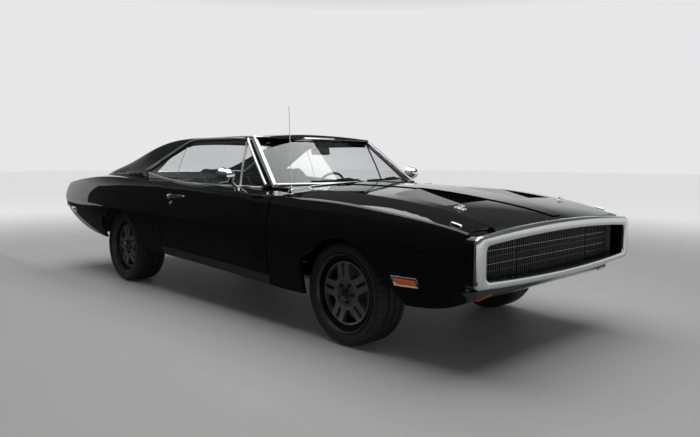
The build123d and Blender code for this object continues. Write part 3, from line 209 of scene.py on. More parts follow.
def wheel_look(name, axle):
    """Satin spokes, gloss black lip and a bright rim edge, by distance from the axle."""
    made = look(name, (0.085, 0.085, 0.09), 0.36, 0.85)
    place = node(made, "ShaderNodeTexCoord")
    flat = node(made, "ShaderNodeMapping", {"Location": (-axle, 0, -TYRE_R), "Scale": (1, 0, 1)})
    far = node(made, "ShaderNodeVectorMath", operation="LENGTH")
    ramp = node(made, "ShaderNodeValToRGB")
    share = node(made, "ShaderNodeMapRange", {"From Max": WHEEL_LOOK_R})
    links = made.node_tree.links
    links.new(place.outputs["Object"], flat.inputs["Vector"])
    links.new(flat.outputs["Vector"], far.inputs[0])
    links.new(far.outputs["Value"], share.inputs["Value"])
    links.new(share.outputs["Result"], ramp.inputs["Fac"])
    links.new(ramp.outputs["Color"], shader_of(made).inputs["Base Color"])
    while len(ramp.color_ramp.elements) < len(WHEEL_GREYS):
        ramp.color_ramp.elements.new(0.5)
    for element, (at, grey) in zip(ramp.color_ramp.elements, WHEEL_GREYS):
        element.position = at
        element.color = (grey, grey, grey * 1.03, 1)
    vary(made, "Roughness", texture(made, NOISE, 70), 0.24, 0.36)
    relief(made, texture(made, NOISE, 700), 0.06, 0.0002, 0.0025)
    return made


SIDES = ((-1, "right"), (1, "left"))
SLOT_LOOK = {
    "paint": paint, "chrome": chrome, "dark_metal": dark, "bare_steel": steel, "black_plastic": plastic,
    "upholstery": leather, "window_glass": glass, "headlamp_glass": lens, "red_lens": red,
    "amber_lens": amber, "tyre_rubber": rubber, "wheel_metal": gunmetal,
}
wheel_looks = {"front": wheel_look("wheel_front_metal", AXLE_F),
               "rear": wheel_look("wheel_rear_metal", AXLE_R)}
NODE_LOOK = {"wheel_%s_%s" % (end, hand): made for end, made in wheel_looks.items() for _, hand in SIDES}
NODE_LOOK.update(grille=grille_black, lamp_door_right=grille_black, lamp_door_left=grille_black)
for part in frame["record"]["subparts"]:
    mesh = nodes[part["node"]].data
    mesh.materials.clear()
    mesh.materials.append(NODE_LOOK.get(part["node"], SLOT_LOOK[part["material_slot"]]))


# Shapes
def tree_of(*names):
    """Search tree over the faces of some solids."""
    points, faces = [], []
    for name in names:
        mesh = nodes[name].data
        start = len(points)
        points += [corner.co.copy() for corner in mesh.vertices]
        faces += [[start + i for i in face.vertices] for face in mesh.polygons]
    return BVHTree.FromPolygons(points, faces)


def cast(tree, start, way):
    """Place and outward normal where a straight line first meets the solids."""
    way = Vector(way)
    at, normal, _, _ = tree.ray_cast(Vector(start), way)
    return at, (normal if normal.dot(way) < 0 else -normal)


def nearest(tree, point, outward):
    """Nearest place on the solids, with its normal turned to the given side."""
    at, normal, _, _ = tree.find_nearest(Vector(point))
    return at, (normal if normal.dot(Vector(outward)) > 0 else -normal)


def piece(name, shape, made, body, replaced=(), angle=38):
    """Object from a finished shape, shaded smooth below the given edge angle, riding on a body."""
    bmesh.ops.recalc_face_normals(shape, faces=shape.faces)
    mesh = bpy.data.meshes.new(name)
    shape.to_mesh(mesh)
    shape.free()
    mesh.materials.append(made)
    mesh.polygons.foreach_set("use_smooth", [True] * len(mesh.polygons))
    mesh.set_sharp_from_angle(angle=math.radians(angle))
    obj = bpy.data.objects.new(name, mesh)
    scene.collection.objects.link(obj)
    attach(obj, body)
    if replaced:
        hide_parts(*replaced)
    return obj


def bridge(shape, rings, closed=False, caps=True):
    """Skin over rings of points that all have the same count; caps close its two ends."""
    rows = [[shape.verts.new(point) for point in ring] for ring in rings]
    pairs = list(zip(rows[:-1], rows[1:])) + ([(rows[-1], rows[0])] if closed else [])
    for low, high in pairs:
        for i in range(len(low)):
            j = (i + 1) % len(low)
            shape.faces.new((low[i], low[j], high[j], high[i]))
    if caps and not closed:
        shape.faces.new(rows[0])
        shape.faces.new(rows[-1])


def sweep(shape, path, ups, profile, closed=False):
    """Section of (across, up) points carried along a path, with the up direction at each point."""
    path = [Vector(point) for point in path]
    rings = []
    for i, (point, up) in enumerate(zip(path, ups)):
        after = path[(i + 1) % len(path)] if closed or i + 1 < len(path) else point
        before = path[i - 1] if closed or i else point
        along = (after - before).normalized()
        side = along.cross(Vector(up)).normalized()
        lift = side.cross(along)
        rings.append([point + side * across + lift * rise for across, rise in profile])
    bridge(shape, rings, closed)


def dome(width, height, sink=0.002, steps=7):
    """Half-round section of a trim strip."""
    turns = [math.pi * i / steps for i in range(steps + 1)]
    arc = [(-width / 2 * math.cos(t), height * math.sin(t) ** 0.6) for t in turns]
    return [(-width / 2, -sink)] + arc + [(width / 2, -sink)]


def circle(radius, sides=12):
    turns = [2 * math.pi * i / sides for i in range(sides)]
    return [(radius * math.cos(t), radius * math.sin(t)) for t in turns]


def lathe(shape, profile, at, axis, steps=40):
    """Turned form: (radius, along) points about an axis through a place."""
    turn = Vector((0, 0, 1)).rotation_difference(Vector(axis)).to_matrix()
    rings = []
    for radius, along in profile:
        ring = []
        for i in range(steps):
            t = 2 * math.pi * i / steps
            ring.append(Vector(at) + turn @ Vector((radius * math.cos(t), radius * math.sin(t), along)))
        rings.append(ring)
    bridge(shape, rings)


def split_caps(shape):
    """Cuts the faces with more than four corners into triangles."""
    bmesh.ops.triangulate(shape, faces=[face for face in shape.faces if len(face.verts) > 4])


def settled(obj):
    """The object's mesh with its modifiers worked in."""
    return bpy.data.meshes.new_from_object(obj.evaluated_get(bpy.context.evaluated_depsgraph_get()))


SLAB_SINK = 0.002


def slab(shape, outline, normal, thick, ease):
    """Plate on an outline of points, its outer edge eased."""
    normal = Vector(normal).normalized()
    outline = [Vector(point) for point in outline]
    middle = sum(outline, Vector()) / len(outline)
    size = max((point - middle).length for point in outline)
    inner = [point + (middle - point) * (ease / size) for point in outline]
    shoulder = [a.lerp(b, 0.3) for a, b in zip(outline, inner)]
    rings = [[p - normal * SLAB_SINK for p in outline], [p + normal * (thick - ease) for p in outline],
             [p + normal * (thick - ease * 0.3) for p in shoulder], [p + normal * thick for p in inner]]
    bridge(shape, rings)


def eased(corners, radius, steps=5):
    """Flat outline of 2-D corners with its corners rounded."""
    out = []
    for i, here in enumerate(corners):
        here = Vector(here)
        before, after = Vector(corners[i - 1]), Vector(corners[(i + 1) % len(corners)])
        a = here + (before - here).normalized() * radius
        b = here + (after - here).normalized() * radius
        out += [a.lerp(here, t).lerp(here.lerp(b, t), t) for t in [k / steps for k in range(steps + 1)]]
    return out


def between(points, steps):
    """Points along straight runs, evenly divided."""
    out = [Vector(points[0])]
    for a, b in zip(points[:-1], points[1:]):
        out += [Vector(a).lerp(Vector(b), (k + 1) / steps) for k in range(steps)]
    return out


# Bright nose loop with a painted collar behind it
NOSE_X, NOSE_BOW, BOW_HALF = 2.6413, 0.014, 0.9
BAR_REAR_X, BAR_REAR_BOW = 2.610, 0.004
OUTER_ROUND, INNER_ROUND = 0.026, 0.009
# Above HOOD_EDGE_LOW the bar and collar end ahead of the hood's front edge, which is bowed more;
# the depths are behind the nose, for the bar there, the collar there and the collar elsewhere
HOOD_EDGE_BOW, HOOD_EDGE_LOW = 0.0363, 0.7
BAR_AT_HOOD, COLLAR_AT_HOOD, COLLAR_DEEP = 0.0385, 0.037, 0.0648
BAR_HOOD_HALF, COLLAR_HOOD_HALF = 0.69, 0.70
# columns: half width, top at the corner and middle, bottom at the corner and middle, corner radius
LOOP_OUT = (0.904, 0.757, 0.798, 0.486, 0.460, 0.052)
LOOP_IN = (0.824, 0.706, 0.738, 0.527, 0.505, 0.034)
FENDER_LOOP = (0.896, 0.754, 0.7975, 0.484, 0.462, 0.048)


def loop(half, top_corner, top, low_corner, low, corner_r, runs=28, turns=8):
    """Arched, round-cornered outline in front view, the same count of points for every size."""
    reach = half - corner_r
    span = [reach * (2 * k / runs - 1) for k in range(runs + 1)]
    upper = [(y, top + (top_corner - top) * (y / half) ** 2) for y in span]
    lower = [(y, low + (low_corner - low) * (y / half) ** 2) for y in reversed(span)]
    high, foot = upper[-1][1] - corner_r, lower[0][1] + corner_r
    arcs = [math.pi / 2 * k / turns for k in range(1, turns)]
    right_top = [(reach + corner_r * math.sin(t), high + corner_r * math.cos(t)) for t in arcs]
    right_low = [(reach + corner_r * math.cos(t), foot - corner_r * math.sin(t)) for t in arcs]
    side = [(half, high), (half, foot)]
    left = [(-y, z) for y, z in reversed(right_top + side + right_low)]
    return upper + right_top + side + right_low + lower + left


def bow(y, deep):
    return deep * (y / BOW_HALF) ** 2


def ring_bar(shape, outer, inner, section):
    """Closed bar between two outlines; section gives (share from outer to inner, x) points at a place."""
    rings = []
    for (yo, zo), (yi, zi) in zip(outer, inner):
        rings.append([Vector((x, yo + (yi - yo) * share, zo + (zi - zo) * share))
                      for share, x in section(yo, zo)])
    bridge(shape, rings, closed=True)


def bar_section(y, z):
    front = NOSE_X - bow(y, NOSE_BOW)
    rear = BAR_REAR_X - bow(y, BAR_REAR_BOW)
    if z > HOOD_EDGE_LOW and abs(y) < BAR_HOOD_HALF:
        rear = NOSE_X - BAR_AT_HOOD - bow(y, HOOD_EDGE_BOW)
    outside = [(0.42 * (1 - math.cos(t)), front - OUTER_ROUND * (1 - math.sin(t)))
               for t in (0, 0.3, 0.6, 0.9, 1.2, math.pi / 2)]
    inside = [(1 - 0.13 * (1 - math.cos(t)), front - INNER_ROUND * (1 - math.sin(t)))
              for t in (math.pi / 2, 1.1, 0.6, 0)]
    return [(0, rear)] + outside + inside + [(1, rear)]


shape = bmesh.new()
ring_bar(shape, loop(*LOOP_OUT), loop(*LOOP_IN), bar_section)
piece("bumper_loop", shape, satin, "chassis", ["front_bumper"], 50)


def collar_section(y, z):
    rear = NOSE_X - COLLAR_DEEP - bow(y, HOOD_EDGE_BOW)
    front = max(BAR_REAR_X - bow(y, BAR_REAR_BOW) - 0.001, rear + 0.001)
    if z > HOOD_EDGE_LOW and abs(y) < COLLAR_HOOD_HALF:
        rear = front = NOSE_X - COLLAR_AT_HOOD - bow(y, HOOD_EDGE_BOW)
        return [(0.1, rear), (0.1, front + 0.001), (0.9, front + 0.001), (0.9, rear)]
    return [(0, rear), (0.02, front), (0.94, front), (1, rear)]


shape = bmesh.new()
ring_bar(shape, loop(*FENDER_LOOP), loop(*LOOP_IN), collar_section)
piece("nose_collar", shape, paint, "chassis", ["front_bumper"])

# Bright lines across the grille and its lamp doors
GRILLE_LINES = (0.592, 0.664)
LINE_END, DOOR_LINE_END = 0.004, 0.003
door_low, door_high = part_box("lamp_door_right")
inner_edge, outer_edge = abs(door_high[1]), abs(door_low[1])
grille_front = door_high[0]
for span, body in (((-inner_edge + LINE_END, inner_edge - LINE_END), "chassis"),
                   ((-outer_edge + DOOR_LINE_END, -inner_edge - DOOR_LINE_END), "lamp_door_right"),
                   ((inner_edge + DOOR_LINE_END, outer_edge - DOOR_LINE_END), "lamp_door_left")):
    shape = bmesh.new()
    for z in GRILLE_LINES:
        path = between([(grille_front, span[0], z), (grille_front, span[1], z)], 8)
        sweep(shape, path, [(1, 0, 0)] * len(path), dome(0.005, 0.003, 0.006, 4))
    piece("grille_lines_" + body, shape, dark_chrome, body)

# Lamps on the fenders, quarters and valance
skins = tree_of("front_fenders", "quarter_panels")
apron = tree_of("front_valance")
# columns: x and z round the lens, then round its bezel
MARKERS = (
    (amber, ((2.123, 0.462), (2.252, 0.466), (2.241, 0.494), (2.094, 0.494)),
     ((2.101, 0.451), (2.264, 0.455), (2.257, 0.507), (2.078, 0.507))),
    (red, ((-2.398, 0.604), (-2.262, 0.604), (-2.268, 0.636), (-2.392, 0.636)),
     ((-2.410, 0.594), (-2.250, 0.594), (-2.257, 0.646), (-2.403, 0.646))),
)
# columns: y and z round the turn lamp's lens, which leans back with the valance
TURN_LENS = ((0.642, 0.432), (0.688, 0.428), (0.742, 0.384), (0.702, 0.378))
TURN_X, TURN_LEAN = 2.545, 0.8
BEZEL_THICK, MARKER_THICK, TURN_THICK, LENS_EASE = 0.004, 0.008, 0.007, 0.003
for side, hand in SIDES:
    lenses = {amber: bmesh.new(), red: bmesh.new()}
    bezels = bmesh.new()
    for made, lens_plan, bezel_plan in MARKERS:
        for plan, target, thick in ((bezel_plan, bezels, BEZEL_THICK),
                                    (lens_plan, lenses[made], MARKER_THICK)):
            hits = [cast(skins, (x, side * 1.3, z), (0, -side, 0)) for x, z in eased(plan, 0.007)]
            normal = sum((n for _, n in hits), Vector())
            slab(target, [at for at, _ in hits], normal, thick, LENS_EASE)
    hits = []
    for y, z in eased(TURN_LENS, 0.010):
        aim = Vector((TURN_X - TURN_LEAN * (TURN_LENS[0][1] - z), side * y, z))
        hits.append(nearest(apron, aim, (1, 0, -1)))
    normal = sum((n for _, n in hits), Vector())
    slab(lenses[amber], [at for at, _ in hits], normal, TURN_THICK, LENS_EASE)
    piece("marker_bezels_" + hand, bezels, chrome, "chassis", ["marker_lamps"])
    piece("amber_lenses_" + hand, lenses[amber], amber, "chassis", ["marker_lamps"])
    piece("red_marker_" + hand, lenses[red], red, "chassis", ["marker_lamps"])

# Hood pins on scuff plates, small lamps on the fender tops
hood_tree = tree_of("hood")
PIN_X, PIN_Y = 2.275, 0.572
PIN_PLATE = ((-0.034, -0.020), (0.034, -0.020), (0.040, 0.0), (0.034, 0.020), (-0.034, 0.020), (-0.040, 0.0))
PIN_TURNED = ((0.013, 0), (0.013, 0.004), (0.008, 0.006), (0.007, 0.020), (0.004, 0.025), (0.001, 0.0255))
HOOP_STEPS = 20
FENDER_LAMP_X, FENDER_LAMP_Y = 2.441, 0.833
FENDER_LAMP = ((-0.034, -0.011), (0.034, -0.011), (0.034, 0.011), (-0.034, 0.011))
shape = bmesh.new()
for side, _ in SIDES:
    at, normal = cast(hood_tree, (PIN_X, side * PIN_Y, 1.4), (0, 0, -1))
    along = Vector((1, 0, 0)) - normal * normal.x
    along.normalize()
    across = normal.cross(along)
    plan = eased(PIN_PLATE, 0.008)
    slab(shape, [at + along * a + across * b for a, b in plan], normal, 0.003, 0.0015)
    lathe(shape, PIN_TURNED, at, normal, 20)
    hoop = [at + normal * 0.014 + along * (0.020 * math.cos(t)) + across * (0.012 * math.sin(t) + 0.010)
            for t in [2 * math.pi * k / HOOP_STEPS for k in range(HOOP_STEPS)]]
    sweep(shape, hoop, [normal] * HOOP_STEPS, circle(0.0018, 8), True)
piece("hood_pins", shape, chrome, "hood")
shape = bmesh.new()
for side, _ in SIDES:
    at, normal = cast(skins, (FENDER_LAMP_X, side * FENDER_LAMP_Y, 1.3), (0, 0, -1))
    outline = [at + Vector((a, b, -a * normal.x / normal.z - b * normal.y / normal.z))
               for a, b in eased(FENDER_LAMP, 0.010)]
    slab(shape, outline, normal, 0.012, 0.007)
piece("fender_lamps", shape, chrome, "chassis")

# Windscreen bowed forward in the middle, the roof trimmed to it, and the cowl top that meets its foot
# columns: corner x and half width, middle x, height
SCREEN_LOW, SCREEN_TOP = (0.816, 0.768, 0.935, 0.958), (0.388, 0.620, 0.450, 1.312)
SCREEN_SINK = 0.008


def on_screen(share, y_share, back=0.0):
    """Place on the windscreen's outer face: share up from its foot, y_share from -1 to 1 across."""
    corner_x, half, middle_x, z = (a + (b - a) * share for a, b in zip(SCREEN_LOW, SCREEN_TOP))
    return Vector((middle_x + (corner_x - middle_x) * y_share ** 2 - back, half * y_share, z))


def screen_normal(share, y_share):
    across = on_screen(share, y_share + 0.01) - on_screen(share, y_share - 0.01)
    up = on_screen(share + 0.01, y_share) - on_screen(share - 0.01, y_share)
    return across.cross(up).normalized()


ACROSS = [k / 16 - 1 for k in range(33)]
# The cutter clears everything ahead of the windscreen's face, past both pillars
CUT_WIDE, CUT_FRONT_X, CUT_SHARES = 1.3, 1.5, (-0.04, 0.25, 0.5, 0.75, 0.985)
cutter = bmesh.new()
rear_rows = [[on_screen(share, y * CUT_WIDE) for y in ACROSS] for share in CUT_SHARES]
front_rows = [[Vector((CUT_FRONT_X, p.y, p.z)) for p in row] for row in reversed(rear_rows)]
bridge(cutter, [[row[i] for row in rear_rows + front_rows] for i in range(len(ACROSS))])
split_caps(cutter)
bmesh.ops.recalc_face_normals(cutter, faces=cutter.faces)
cutter_mesh = bpy.data.meshes.new("screen_cutter")
cutter.to_mesh(cutter_mesh)
cutter.free()
cutter_obj = bpy.data.objects.new("screen_cutter", cutter_mesh)
scene.collection.objects.link(cutter_obj)
roof = bpy.data.objects.new("roof_skin", nodes["roof"].data.copy())
scene.collection.objects.link(roof)
trim = roof.modifiers.new("trim", "BOOLEAN")
trim.object = cutter_obj
trim.solver = "EXACT"
trimmed = settled(roof)
roof.modifiers.clear()
roof.data = trimmed
bpy.data.objects.remove(cutter_obj)
trimmed.materials.clear()
trimmed.materials.append(paint)
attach(roof, "chassis")
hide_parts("roof")
roof_tree = BVHTree.FromPolygons([corner.co.copy() for corner in trimmed.vertices],
                                 [list(face.vertices) for face in trimmed.polygons])

PANE_EDGE, PANE_THICK = 0.965, 0.006
shape = bmesh.new()
faces = [[[on_screen(share, y * PANE_EDGE, back) for y in ACROSS] for share in [k / 8 for k in range(9)]]
         for back in (SCREEN_SINK, SCREEN_SINK + PANE_THICK)]
rings = [row_out + row_in[::-1] for row_out, row_in in zip(*faces)]
bridge(shape, rings)
split_caps(shape)
piece("windscreen_pane", shape, glass, "chassis", ["windshield"])

SCREEN_FOOT = -0.02
COWL_LIP_X, COWL_LIP_Z, COWL_DROP, COWL_HALF, COWL_THICK = 0.988, 0.9665, 0.029, 0.73, 0.004
COWL_STEPS = 40
rows = [[], [], []]
for y in [2 * k / COWL_STEPS - 1 for k in range(COWL_STEPS + 1)]:
    foot = on_screen(SCREEN_FOOT, y, 0.004)
    lip = Vector((COWL_LIP_X, foot.y, COWL_LIP_Z - COWL_DROP * (foot.y / COWL_HALF) ** 2))
    rows[0].append(foot + Vector((-0.012, 0, -0.006)))
    rows[1].append(foot.lerp(lip, 0.25) + Vector((0, 0, 0.002)))
    rows[2].append(lip)
shape = bmesh.new()
under = [[p - Vector((0, 0, COWL_THICK)) for p in row] for row in reversed(rows)]
bridge(shape, [[row[i] for row in rows + under] for i in range(COWL_STEPS + 1)])
split_caps(shape)
piece("cowl_top", shape, paint, "chassis")

# Windscreen and rear window surrounds
RAIL_REACH, POST_AT = 0.985, 0.972
shape = bmesh.new()
for share, width in ((0.985, 0.024), (0.012, 0.018)):
    path = [on_screen(share, y * RAIL_REACH, 0.003) for y in ACROSS]
    sweep(shape, path, [screen_normal(share, y * RAIL_REACH) for y in ACROSS], dome(width, 0.007, 0.006))
for side, _ in SIDES:
    shares = [k / 16 for k in range(17)]
    path = [on_screen(share, side * POST_AT, 0.002) for share in shares]
    sweep(shape, path, [screen_normal(share, side * POST_AT) for share in shares], dome(0.028, 0.008, 0.006))
piece("windscreen_surround", shape, bright_trim, "chassis")
(top_x, top_z), (low_x, low_z), rear_half = (-0.806, 1.2925), (-1.332, 1.0165), 0.514
rear_up = (Vector((top_x - low_x, 0, top_z - low_z)).cross(Vector((0, 1, 0)))).normalized()
rear_up = rear_up if rear_up.z > 0 else -rear_up
shape = bmesh.new()
corners = [Vector((top_x, -rear_half, top_z)), Vector((top_x, rear_half, top_z)),
           Vector((low_x, rear_half, low_z)), Vector((low_x, -rear_half, low_z))]
for a, b in zip(corners, corners[1:] + corners[:1]):
    path = between([a, b], 6)
    sweep(shape, path, [rear_up] * len(path), dome(0.018, 0.006, 0.004))
piece("rear_window_surround", shape, bright_trim, "chassis")

# Drip rails, glass edges, vent bars and belt trim, as (x, z) runs in side view
DRIP = ((-1.028, 1.032), (-0.95, 1.069), (-0.80, 1.135), (-0.62, 1.214), (-0.52, 1.257), (-0.45, 1.282),
        (-0.38, 1.295), (-0.28, 1.299), (0.0, 1.300), (0.20, 1.298), (0.325, 1.294))
PILLAR = ((0.366, 1.292), (0.43, 1.236), (0.50, 1.176), (0.60, 1.089), (0.70, 1.001), (0.752, 0.956))
SEAL_REAR = ((-0.985, 1.038), (-0.80, 1.117), (-0.62, 1.196), (-0.50, 1.247), (-0.492, 1.250))
SEAL_DOOR = ((-0.484, 1.252), (-0.41, 1.270), (-0.30, 1.276), (0.0, 1.276), (0.30, 1.274), (0.335, 1.272))
BELT_REAR = ((-0.990, 1.018), (-0.86, 0.996), (-0.70, 0.975), (-0.60, 0.966), (-0.494, 0.959))
BELT_DOOR = ((-0.482, 0.958), (-0.357, 0.951), (0.0, 0.936), (0.378, 0.922), (0.60, 0.922), (0.715, 0.926))
# The side glass leans in above the belt
GLASS_HALF, BELT_Z, GLASS_LEAN = 0.80, 0.95, 0.42
for side, hand in SIDES:
    out = (0, side, 0)
    door = "door_" + hand
    pane = tree_of("door_glass_" + hand)
    fixed = tree_of("quarter_glass")
    shape = bmesh.new()
    for run in (DRIP, PILLAR):
        hits = [cast(roof_tree, p, (0, -side, 0)) for p in between([(x, side * 1.5, z) for x, z in run], 3)]
        sweep(shape, [at for at, _ in hits], [n for _, n in hits], dome(0.018, 0.012, 0.004))
    piece("drip_rail_" + hand, shape, bright_trim, "chassis")
    for name, tree, seal, belt, body in (("quarter", fixed, SEAL_REAR, BELT_REAR, "chassis"),
                                         ("door", pane, SEAL_DOOR, BELT_DOOR, door)):
        for part_name, run, section, made in (("seal", seal, dome(0.040, 0.003, 0.003), rubber_trim),
                                              ("belt", belt, dome(0.019, 0.011, 0.004), bright_trim)):
            shape = bmesh.new()
            path = between([(x, side * (GLASS_HALF - max(0, z - BELT_Z) * GLASS_LEAN), z) for x, z in run], 3)
            hits = [nearest(tree, p, out) for p in path]
            sweep(shape, [at for at, _ in hits], [n for _, n in hits], section)
            piece("%s_%s_%s" % (name, part_name, hand), shape, made, body)
    shape = bmesh.new()
    path = between([(0.444, side * 0.782, 0.926), (0.357, side * 0.650, 1.270)], 10)
    hits = [nearest(pane, p, out) for p in path]
    sweep(shape, [at for at, _ in hits], [n for _, n in hits], dome(0.016, 0.008, 0.004))
    piece("vent_bar_" + hand, shape, bright_trim, door)

# Door handles and locks
HANDLE_REAR, HANDLE_FRONT, LOCK = (-0.355, 0.834), (-0.140, 0.843), (-0.316, 0.785)
HANDLE_RISE, HANDLE_STEPS = 0.026, 14
HANDLE_BOSS = ((0.024, -0.002), (0.024, 0.004), (0.019, 0.007), (0.015, 0.008), (0.015, 0.020),
               (0.012, 0.023), (0.001, 0.0235))
LOCK_TURNED = ((0.015, -0.002), (0.015, 0.004), (0.012, 0.007), (0.009, 0.0072), (0.008, 0.005),
               (0.001, 0.005))


def on_door(skin, spot, side):
    """Place and normal on a door's outer skin at (x, z)."""
    return cast(skin, (spot[0], side * 1.3, spot[1]), (0, -side, 0))


for side, hand in SIDES:
    skin = tree_of("door_" + hand)
    shape = bmesh.new()
    at, normal = on_door(skin, HANDLE_REAR, side)
    end, _ = on_door(skin, HANDLE_FRONT, side)
    lathe(shape, HANDLE_BOSS, at, normal, 28)
    path, rings = [], []
    for share in [k / HANDLE_STEPS for k in range(HANDLE_STEPS + 1)]:
        rise = HANDLE_RISE * math.sin(math.pi * min(1, 0.10 + share * 0.95)) ** 0.35
        p = at.lerp(end, share) + normal * rise
        path.append(p)
        half = 0.011 * (1.25 - 0.55 * share)
        rings.append([p + Vector((0, 0, half * math.sin(t))) + normal * (0.0045 * math.cos(t))
                      for t in [math.pi / 6 * k for k in range(12)]])
    bridge(shape, rings)
    foot = path[-1] - normal * HANDLE_RISE
    lathe(shape, [(0.010, -0.004), (0.010, 0.026), (0.001, 0.027)], foot, normal, 16)
    at, normal = on_door(skin, LOCK, side)
    lathe(shape, LOCK_TURNED, at, normal, 24)
    piece("door_handle_" + hand, shape, chrome, "door_" + hand)

# Wipers, antenna base and mirror glasses
WIPERS, WIPER_REACH = (-0.30, 0.42), 0.30
BLADE = ((-0.005, -0.010), (-0.003, 0.008), (0.003, 0.008), (0.005, -0.010))
WIPER_BOSS = ((0.016, -0.012), (0.016, 0.012), (0.010, 0.022), (0.001, 0.022))
ANTENNA_AT = (1.050, -0.790, 1.02)
ANTENNA_BASE = ((0.021, -0.003), (0.021, 0.004), (0.015, 0.012), (0.010, 0.022), (0.006, 0.030),
                (0.0042, 0.034))
MIRROR_GLASS = ((0.052, -0.001), (0.052, 0.003), (0.049, 0.005), (0.047, 0.0035), (0.001, 0.003))
shape = bmesh.new()
for middle in WIPERS:
    spots = [middle + WIPER_REACH * (k / 12 - 1) for k in range(25)]
    blade = [on_screen(0.055 + 0.02 * k / 24, y, -0.004) for k, y in enumerate(spots)]
    ups = [screen_normal(0.06, y) for y in spots]
    sweep(shape, blade, ups, BLADE)
    pivot = on_screen(SCREEN_FOOT, middle + WIPER_REACH * 1.15, -0.002)
    arm = [pivot, pivot + ups[20] * 0.016, blade[18] + ups[18] * 0.018, blade[12] + ups[12] * 0.010]
    sweep(shape, between(arm, 4), [ups[12]] * 13, circle(0.006, 8))
    lathe(shape, WIPER_BOSS, pivot, ups[12], 16)
piece("wipers", shape, plastic, "chassis")
shape = bmesh.new()
at, _ = cast(tree_of("front_fenders", "cowl"), ANTENNA_AT, (0, 0, -1))
lathe(shape, ANTENNA_BASE, at, (0, 0, 1), 24)
piece("antenna_base", shape, chrome, "chassis")
for side, hand in SIDES:
    at, _ = cast(tree_of("mirror_" + hand), (0.3, side * 1.0, 1.020), (1, 0, 0))
    shape = bmesh.new()
    lathe(shape, MIRROR_GLASS, at, (-1, 0, 0), 36)
    piece("mirror_glass_" + hand, shape, chrome, "door_" + hand)

# Wheels: nuts and caps on each hub, tyres with a moulded wall and a cut tread
# columns: end, axle, the tyre's inner and outer face
WHEELS = (("front", AXLE_F, 0.630, 0.875), ("rear", AXLE_R, 0.591, 0.866))
TREAD_STEPS, TREAD_R, BLOCK_DEEP = 168, 0.3246, 0.006
GROOVES = (0.28, 0.50, 0.72)
GROOVE_HALF, GROOVE_DEEP = 0.005, 0.007
SHOULDER = (0.050, 0.3238, 0.4)
NUT_COUNT, NUT_CIRCLE_R, NUT_START = 5, 0.057, 64
NUT = ((0.013, -0.004), (0.013, 0.004), (0.0105, 0.005), (0.0105, 0.020), (0.007, 0.025), (0.001, 0.026))
CAP = ((0.036, -0.004), (0.036, 0.012), (0.033, 0.018), (0.026, 0.021), (0.012, 0.0225), (0.001, 0.023))
CAP_SEAT_R = 0.035
# columns: distance in from the face, radius, part of the tread cut
TYRE_WALL = (
    (0.014, 0.2475, 0), (0.010, 0.2535, 0), (0.004, 0.257, 0), (0.0035, 0.262, 0), (0.005, 0.264, 0),
    (0.001, 0.276, 0), (0.0, 0.284, 0), (0.0012, 0.292, 0), (0.0035, 0.2925, 0), (0.0045, 0.298, 0),
    (0.003, 0.2985, 0), (0.0055, 0.304, 0), (0.010, 0.3095, 1), (0.022, 0.3185, 1), (0.036, 0.3225, 1),
)


def tyre_profile(w0, w1):
    """(distance from the car's middle, radius, part of the tread cut) from one bead to the other."""
    width = w1 - w0
    near = list(TYRE_WALL) + [SHOULDER]
    tread = []
    for share in GROOVES:
        middle = width * share
        tread += [(middle - GROOVE_HALF - 0.001, TREAD_R, 0),
                  (middle - GROOVE_HALF, TREAD_R - GROOVE_DEEP, 0),
                  (middle + GROOVE_HALF, TREAD_R - GROOVE_DEEP, 0),
                  (middle + GROOVE_HALF + 0.001, TREAD_R, 0)]
    rows = near + tread + [(width - into, r, cut) for into, r, cut in reversed(near)]
    return [(w0 + into, r, cut) for into, r, cut in rows]


for end, axle, w0, w1 in WHEELS:
    for side, hand in SIDES:
        body = "road_wheel_%s_%s" % (end, hand)
        rings = []
        for w, r, cut in tyre_profile(w0, w1):
            ring = []
            for i in range(TREAD_STEPS):
                t = 2 * math.pi * (i + cut * 0.35 * math.sin(w * 40)) / TREAD_STEPS
                radius = r - (BLOCK_DEEP * cut if i % 4 == 0 else 0)
                ring.append(Vector((axle + radius * math.sin(t), side * w, TYRE_R + radius * math.cos(t))))
            rings.append(ring)
        shape = bmesh.new()
        bridge(shape, rings, closed=True)
        piece("tyre_tread_%s_%s" % (end, hand), shape, rubber, body, ["tyre_%s_%s" % (end, hand)], 28)
        hub = tree_of("wheel_%s_%s" % (end, hand))
        shape = bmesh.new()
        for k in range(NUT_COUNT):
            t = math.radians(NUT_START + 360 / NUT_COUNT * k)
            spot = (axle + NUT_CIRCLE_R * math.cos(t), side * 1.2, TYRE_R + NUT_CIRCLE_R * math.sin(t))
            at, _ = cast(hub, spot, (0, -side, 0))
            lathe(shape, NUT, at, (0, side, 0), 6)
        at, _ = cast(hub, (axle + CAP_SEAT_R, side * 1.2, TYRE_R), (0, -side, 0))
        lathe(shape, CAP, at - Vector((CAP_SEAT_R, 0, 0)), (0, side, 0), 32)
        piece("wheel_nuts_%s_%s" % (end, hand), shape, dark_chrome, body)

# Cabin: steering wheel, instruments, inside mirror
WHEEL_AT, WHEEL_AXIS, WHEEL_R = Vector((0.150, 0.370, 0.850)), Vector((-0.9023, 0, 0.4311)), 0.186
RIM_STEPS, GRIP_R, GRIP_WAVE, GRIP_COUNT = 72, 0.0105, 0.0009, 24
WHEEL_HUB = ((0.024, -0.075), (0.026, -0.030), (0.050, -0.022), (0.056, -0.004), (0.050, 0.008),
             (0.030, 0.013), (0.001, 0.014))
